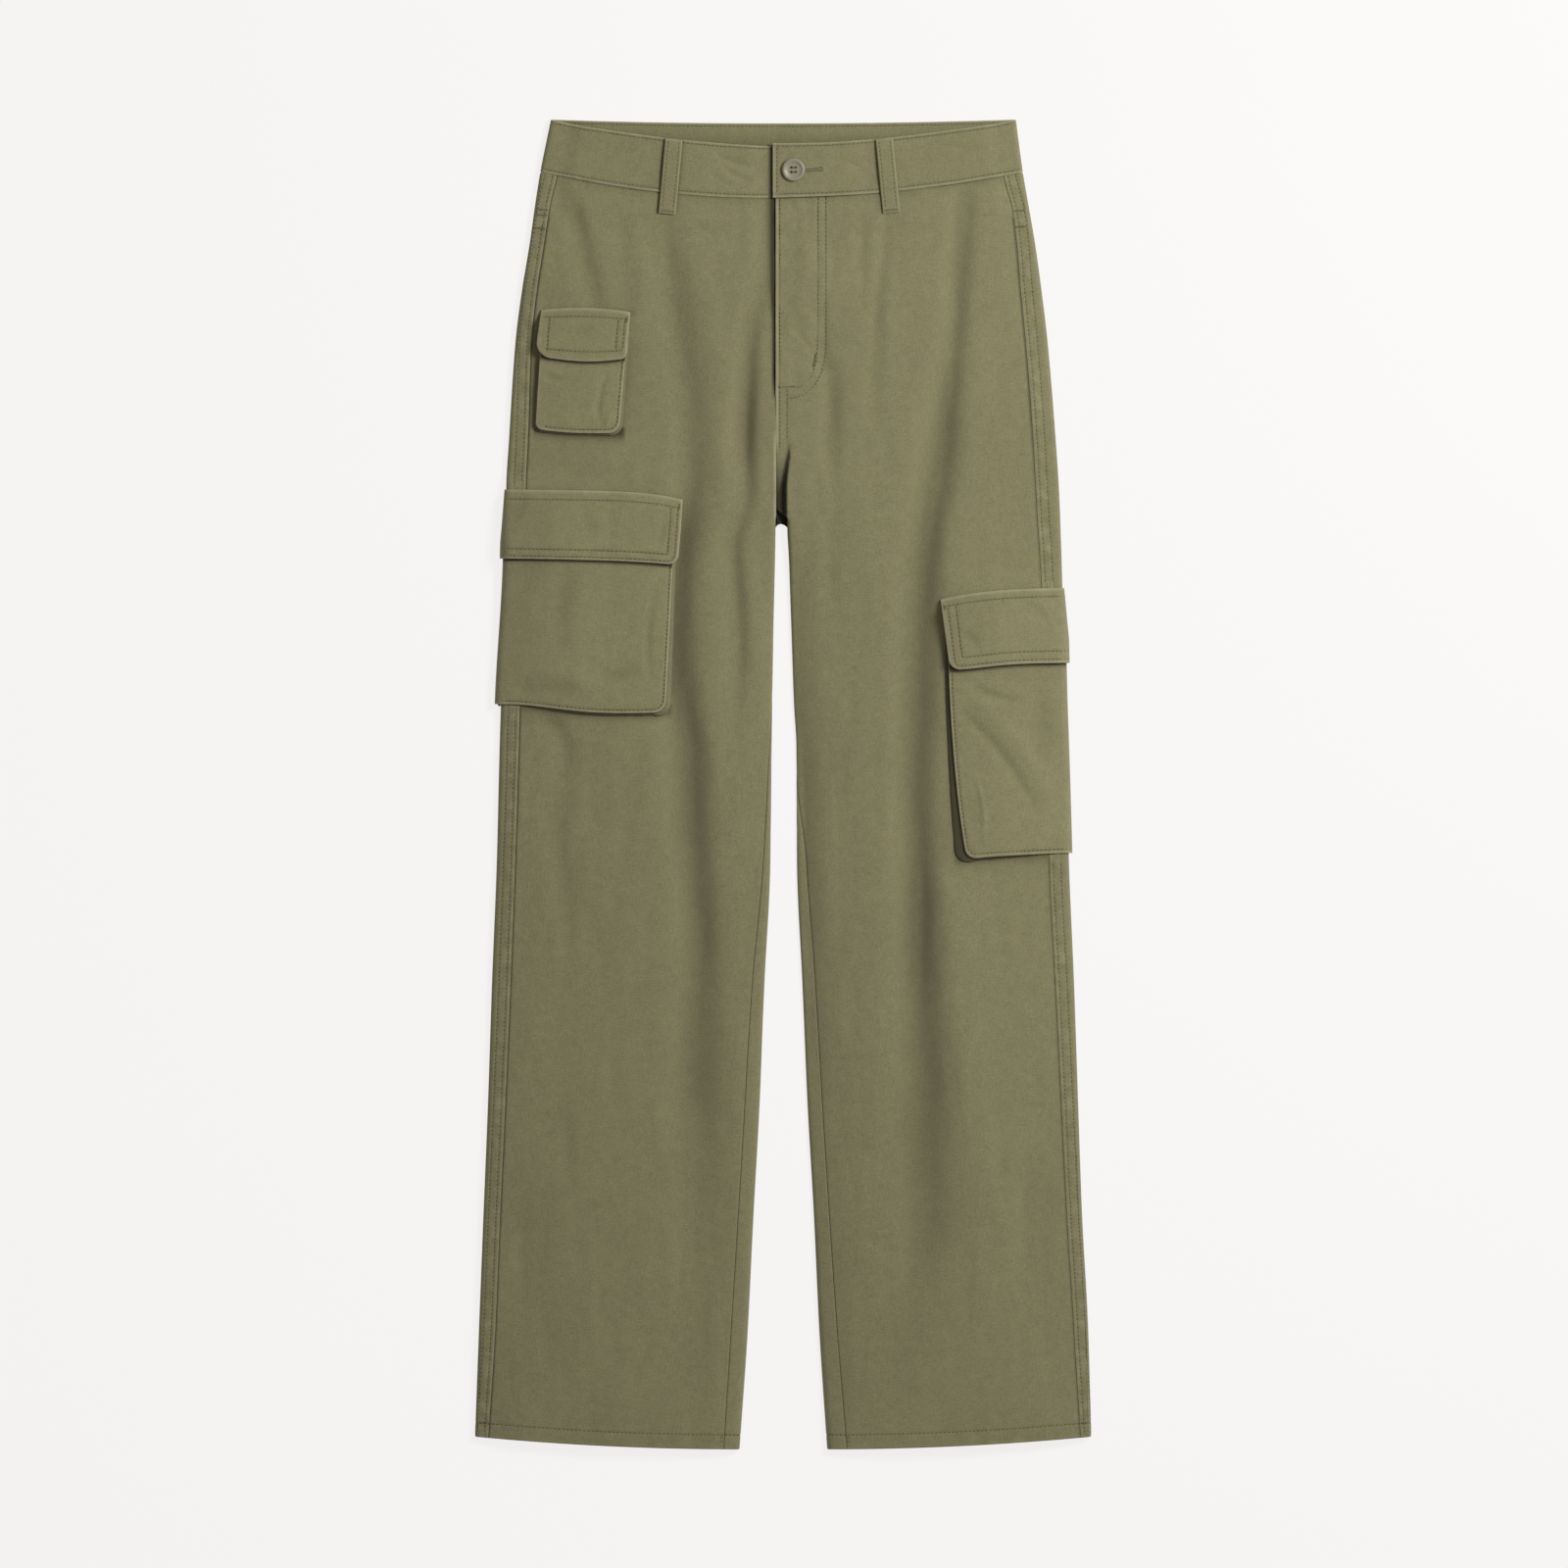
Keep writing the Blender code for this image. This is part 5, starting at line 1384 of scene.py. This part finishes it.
class Sewing:
    # gathers the stitches of one piece of thread work, and makes one mesh of them

    def __init__(self, name):
        self.name, self.rows, self.bars, self.count = name, [], [], 0

    def add(self, start, end, normal, size, radius, rise):
        sizes = (np.full(len(start), value) for value in (size, radius, rise))
        self.rows.append(((start + end) / 2, end - start, normal, *sizes))
        self.count += len(start)

    def along(self, surface, path):
        # a row of stitches along a path of the surface's own two coordinates
        points, normals = surface(*walk(path))
        run = np.concatenate([[0], np.cumsum(np.linalg.norm(np.diff(points, axis=0), axis=1) / mm)])
        start = (np.arange(int(run[-1] / thread["pitch"])) + 0.12) * thread["pitch"]
        if len(start):
            a, b, normal = (np.stack([np.interp(start + shift, run, values[:, k]) for k in range(3)], -1)
                            for shift, values in ((0, points), (thread["stitch"], points),
                                                  (thread["stitch"] / 2, normals)))
            self.add(a, b, normal, thread["stitch"], thread["radius"], thread["rise"])

    def bartack(self, surface, start, end, width=1.7):
        # a short dense bar of thread across its own line
        start, end = np.array(start, float), np.array(end, float)
        long = np.hypot(*(end - start))
        count = max(3, int(long / thread["barStep"]))
        line = start + (end - start) * (np.arange(count)[:, None] + 0.5) / count
        side = np.array([-(end - start)[1], (end - start)[0]]) / long * width / 2
        a, normal = surface(line[:, 0] - side[0], line[:, 1] - side[1])
        b, _ = surface(line[:, 0] + side[0], line[:, 1] + side[1])
        self.bars.append((self.count, len(a)))
        self.add(a, b, normal, width, thread["barRadius"], thread["barRise"])

    def finish(self):
        middle, tangent, normal, size, radius, rise = (np.concatenate(column) for column in zip(*self.rows))
        tangent = tangent / np.maximum(np.linalg.norm(tangent, axis=1, keepdims=True), 1e-12)
        binormal = np.cross(normal, tangent)
        binormal /= np.maximum(np.linalg.norm(binormal, axis=1, keepdims=True), 1e-12)
        normal = np.cross(tangent, binormal)
        verts = []
        for x, z, share in ((-0.5, -0.30, 0.55), (-0.32, 0.0, 1.0), (0.32, 0.0, 1.0), (0.5, -0.30, 0.55)):
            for turn in (45, 135, 225, 315):
                c, s = math.cos(math.radians(turn)), math.sin(math.radians(turn))
                verts.append(middle + tangent * (x * size * mm)[:, None]
                             + binormal * (c * share * radius * mm)[:, None]
                             + normal * ((s * share * radius + z + rise) * mm)[:, None])
        points = keptUp(np.stack(verts, axis=1), thread["lowest"])
        faces = [(0, 1, 2, 3), (15, 14, 13, 12)]
        for ring in (0, 4, 8):
            for k in range(4):
                faces.append((ring + k, ring + 4 + k, ring + 4 + (k + 1) % 4, ring + (k + 1) % 4))
        faces = (np.array(faces)[None] + 16 * np.arange(len(points))[:, None, None]).reshape(-1, 4)
        made = linked(self.name, points, faces, threadFinish)
        if self.bars:
            made.data.materials.append(barFinish)
            slots = np.zeros(len(points), np.int32)
            for first, count in self.bars:
                slots[first:first + count] = 1
            made.data.polygons.foreach_set("material_index", np.repeat(slots, 14))
        made.data.set_sharp_from_angle(angle=math.radians(120))
        return made


def sunkFace(side, depth=0.18, onBand=False):
    # the face of a panel or a band, a little sunk in
    return lambda x, y: outside(side, x, y, 0 * x - depth, onBand)


def bandInside(side):
    def surface(x, y):
        point, normal = outside(side, x, y, 0 * x - trousers["bandWall"] + 0.2, True)
        return point, -normal
    return surface


def pathOf(x, y):
    return np.stack(np.broadcast_arrays(x, y), -1)


for side in sign:
    downs = np.linspace(43.5, length - 1.5, 260)
    seam = at(side, "sideSeam", downs) + foldSlack
    pocket = wrapping(side)
    sewing = Sewing("thread_side_seam_" + side)
    for offset in stripRows:
        for keep in (downs < pocket.flapTop - 3, downs > pocket.bagBottom + 7):
            sewing.along(sunkFace(side, 0.22), pathOf(seam - offset, downs)[keep])
    for stop in (71.5, 83.8) if side == "left" else (71.0, 75.2, 85.4):  # above the side pocket's opening
        edge = float(np.interp(stop, downs, seam))
        sewing.bartack(sunkFace(side, 0.1), (edge - 0.8, stop), (edge - 9.4, stop + 0.6), 1.5)
    if side == "left":  # the seat's seam
        seatDowns = downs[(downs > 44) & (downs < trousers["crotchStart"])]
        for offset in (2.3, 8.4):
            sewing.along(sunkFace(side), pathOf(-girth(side, seatDowns) + offset, seatDowns))
    sewing.finish()
    sewing = Sewing("thread_hem_" + side)
    whole = float(girth(side, length - hem["height"]))
    line = np.linspace(whole * 2 - 2, 0, 160) - whole
    sewing.along(sunkFace(side, 0.2), pathOf(line, length - hem["height"]))
    inseam = whole - float(at(side, "inseam", length - 6))
    for offset in (1.4, 3.0):
        sewing.along(sunkFace(side, 0.1), [(inseam - offset, length - 11), (inseam - offset, length - 2)])
    sewing.finish()

fly = Sewing("thread_fly")


def inFromFly(away, down):
    return pathOf(girth("left", down) - away, down)


for away, span in ((flySeam["edgeStitch"], (44.0, 258.0)), (flySeam["secondStitch"], (206.0, 252.0))):
    fly.along(sunkFace("left", 0.2), inFromFly(away, np.linspace(*span, 80)))
for path in flyRows:
    fly.along(sunkFace("left", 0.2), inFromFly(*walk(path, count=90)))
flyEdge = {down: float(girth("left", down)) for down in (177, 187, 204)}
fly.bartack(sunkFace("left", 0), (flyEdge[177] - 31.6, 177), (flyEdge[187] - 29.4, 187.4))
fly.bartack(sunkFace("left", 0), (flyEdge[204] - 1.2, 204.6), (flyEdge[204] - 15.0, 204.2), 1.3)
flyThread = fly.finish()

for side in sign:
    sewing = Sewing("thread_waistband_" + side)
    whole = float(girth(side, 2.4))
    end = whole + (1.0 if side == "right" else trousers["bandPast"] - 3.5)
    for down in band["stitchDown"]:
        for low, high in ((foldArc, end), (-whole + 2, -foldArc)):
            sewing.along(sunkFace(side, 0.2, True), pathOf(np.linspace(high, low, 200), down))
    sewing.along(bandInside(side), pathOf(np.linspace(-whole + 2, -6, 160), 2.4))
    if side == "left":
        downs = np.linspace(3.0, 40.2, 30)
        edge = girth(side, downs) + trousers["bandPast"]
        sewing.along(sunkFace(side, 0.2, True), pathOf(edge - band["endStitch"], downs))
    sewing.finish()

# The buttonhole is a slit with close stitches at both its sides, and an eye at one end; its ends are
# (out, down), and inner and outer are how far from its line and its eye's middle the stitches reach.
buttonhole = dict(start=(17.4, 22.2), end=(30.6, 21.2), stitches=30, inner=0.25, outer=1.55, stitch=1.3,
                  eyeStitches=13, eyeInner=0.7, eyeOuter=2.2, eyeStitch=1.4, eyeTurn=110,
                  radius=0.24, rise=0.08)
holeGirth = float(girth("left", 24.0))


def onBandEnd(out, down):
    return sunkFace("left", 0, True)(holeGirth - (out - centre["left"]), down)


hole = Sewing("thread_buttonhole")
(holeStart, holeTop), (holeEnd, holeLow) = buttonhole["start"], buttonhole["end"]
xs = np.linspace(holeStart, holeEnd, buttonhole["stitches"])
ys = np.interp(xs, [holeStart, holeEnd], [holeTop, holeLow])
for way in (-1, 1):
    a, normal = onBandEnd(xs, ys + way * buttonhole["inner"])
    b, _ = onBandEnd(xs, ys + way * buttonhole["outer"])
    hole.add(a, b, normal, buttonhole["stitch"], buttonhole["radius"], buttonhole["rise"])
turns = np.linspace(-buttonhole["eyeTurn"], buttonhole["eyeTurn"], buttonhole["eyeStitches"])
c, s = (np.array([act(math.radians(turn)) for turn in turns]) for act in (math.cos, math.sin))
a, normal = onBandEnd(holeEnd + buttonhole["eyeInner"] * c, holeLow + buttonhole["eyeInner"] * s)
b, _ = onBandEnd(holeEnd + buttonhole["eyeOuter"] * c, holeLow + buttonhole["eyeOuter"] * s)
hole.add(a, b, normal, buttonhole["eyeStitch"], buttonhole["radius"], buttonhole["rise"])
hole.bars.append((0, hole.count))
holeThread = hole.finish()

# Three threads through each pair of the button's holes, the middle one on top.
buttonThread = dict(apart=0.35, long=3.9, radius=0.3, rise=0.1, above=0.25, middleUp=0.1)
faceLevel = buttonSeat + button["faceHeight"] * button["height"] + buttonThread["above"]
spot = np.array([button["out"], length / 2 - button["down"], faceLevel]) * mm
reach = np.array([buttonThread["long"] / 2, 0, 0]) * mm
sewing = Sewing("thread_button")
for row in (-1, 1):
    for k in (-1, 0, 1):
        across = button["holeOut"] * row + k * buttonThread["apart"]
        middle = (spot + np.array([0, across, buttonThread["middleUp"] * (k == 0)]) * mm)[None]
        sewing.add(middle - reach, middle + reach, upwards(middle),
                   *(buttonThread[key] for key in ("long", "radius", "rise")))
sewing.finish()

for side in sign:
    sewing = Sewing("thread_belt_loop_front_" + side)

    def loopFace(x, y, side=side):
        point = placed(side, loopMiddle(side, y) + x, y, loopHeights(side, y) - 0.15, True)
        return point, upwards(point)

    foot = loop["length"] - 2.4
    for offset in (-loop["stitch"], loop["stitch"]):
        sewing.along(loopFace, [(offset, 2.0), (offset, loop["length"] - 2.5)])
    sewing.bartack(loopFace, (-5.2, foot), (5.2, foot))
    sewing.finish()

for name, part in pocketParts.items():
    sewing = Sewing("thread_" + name)
    surface = lambda x, y, part=part: part.surface(x, y, -0.12)
    for path in part.stitchRows():
        sewing.along(surface, path)
    if part.isFlap:
        sewing.bartack(surface, (1.6, part.top + 3.2), (1.8, part.top + 8.5), 1.5)
    sewing.finish()
print("sewing ready")

for (kind, side), piece in legs.items():
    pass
for side, piece in bands.items():
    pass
for name, piece in pocketCloth.items():
    side = pocketParts[name].pocket.side
for side, piece in sideBags.items():
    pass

studio = dict(floorColour=(0.10, 0.0985, 0.0975, 1), floorGlow=(0.842, 0.827, 0.818, 1), floorHalf=6.0,
              floorLevel=-0.0003, skyColour=(1.0, 0.99, 0.97, 1), skyStrength=0.29,
              keyEnergy=62.0, keySize=0.9, keyPlace=(1.5, 1.05, 1.95),
              cameraPlace=(0.0007, 0.00039, 3.0), frameWidth=1.2389)


def makeFloor():
    half = studio["floorHalf"]
    mesh = bpy.data.meshes.new("resting_surface")
    corners = [(half * x, half * y, studio["floorLevel"]) for x, y in ((-1, -1), (1, -1), (1, 1), (-1, 1))]
    mesh.from_pydata(corners, [], [(0, 1, 2, 3)])
    finish, tree, shader = freshMaterial("pale_paper")
    fill(tree, shader, {"Base Color": studio["floorColour"], "Roughness": 0.9, "Specular IOR Level": 0.0,
                        "Emission Color": studio["floorGlow"], "Emission Strength": 1.0})
    mesh.materials.append(finish)
    inScene("resting_surface", mesh)


def makeLight():
    world = bpy.data.worlds.new("soft_room")
    world.use_nodes = True
    fill(world.node_tree, world.node_tree.nodes["Background"],
         {"Color": studio["skyColour"], "Strength": studio["skyStrength"]})
    bpy.context.scene.world = world
    light = bpy.data.lights.new("window_light", "AREA")
    light.shape, light.size = "DISK", studio["keySize"]
    light.energy = studio["keyEnergy"]
    lamp = inScene("window_light", light)
    lamp.location = studio["keyPlace"]
    x, y, z = studio["keyPlace"]
    lamp.rotation_euler = (0, math.atan2(math.hypot(x, y), z), math.atan2(y, x))


def makeCamera():
    lens = bpy.data.cameras.new("overhead_camera")
    lens.type = "ORTHO"
    lens.ortho_scale = studio["frameWidth"]
    camera = inScene("overhead_camera", lens)
    camera.location = studio["cameraPlace"]
    bpy.context.scene.camera = camera


makeFloor()
makeLight()
makeCamera()
bpy.context.scene.view_settings.view_transform = "Standard"
bpy.context.scene.view_settings.look = "None"
print("room ready")
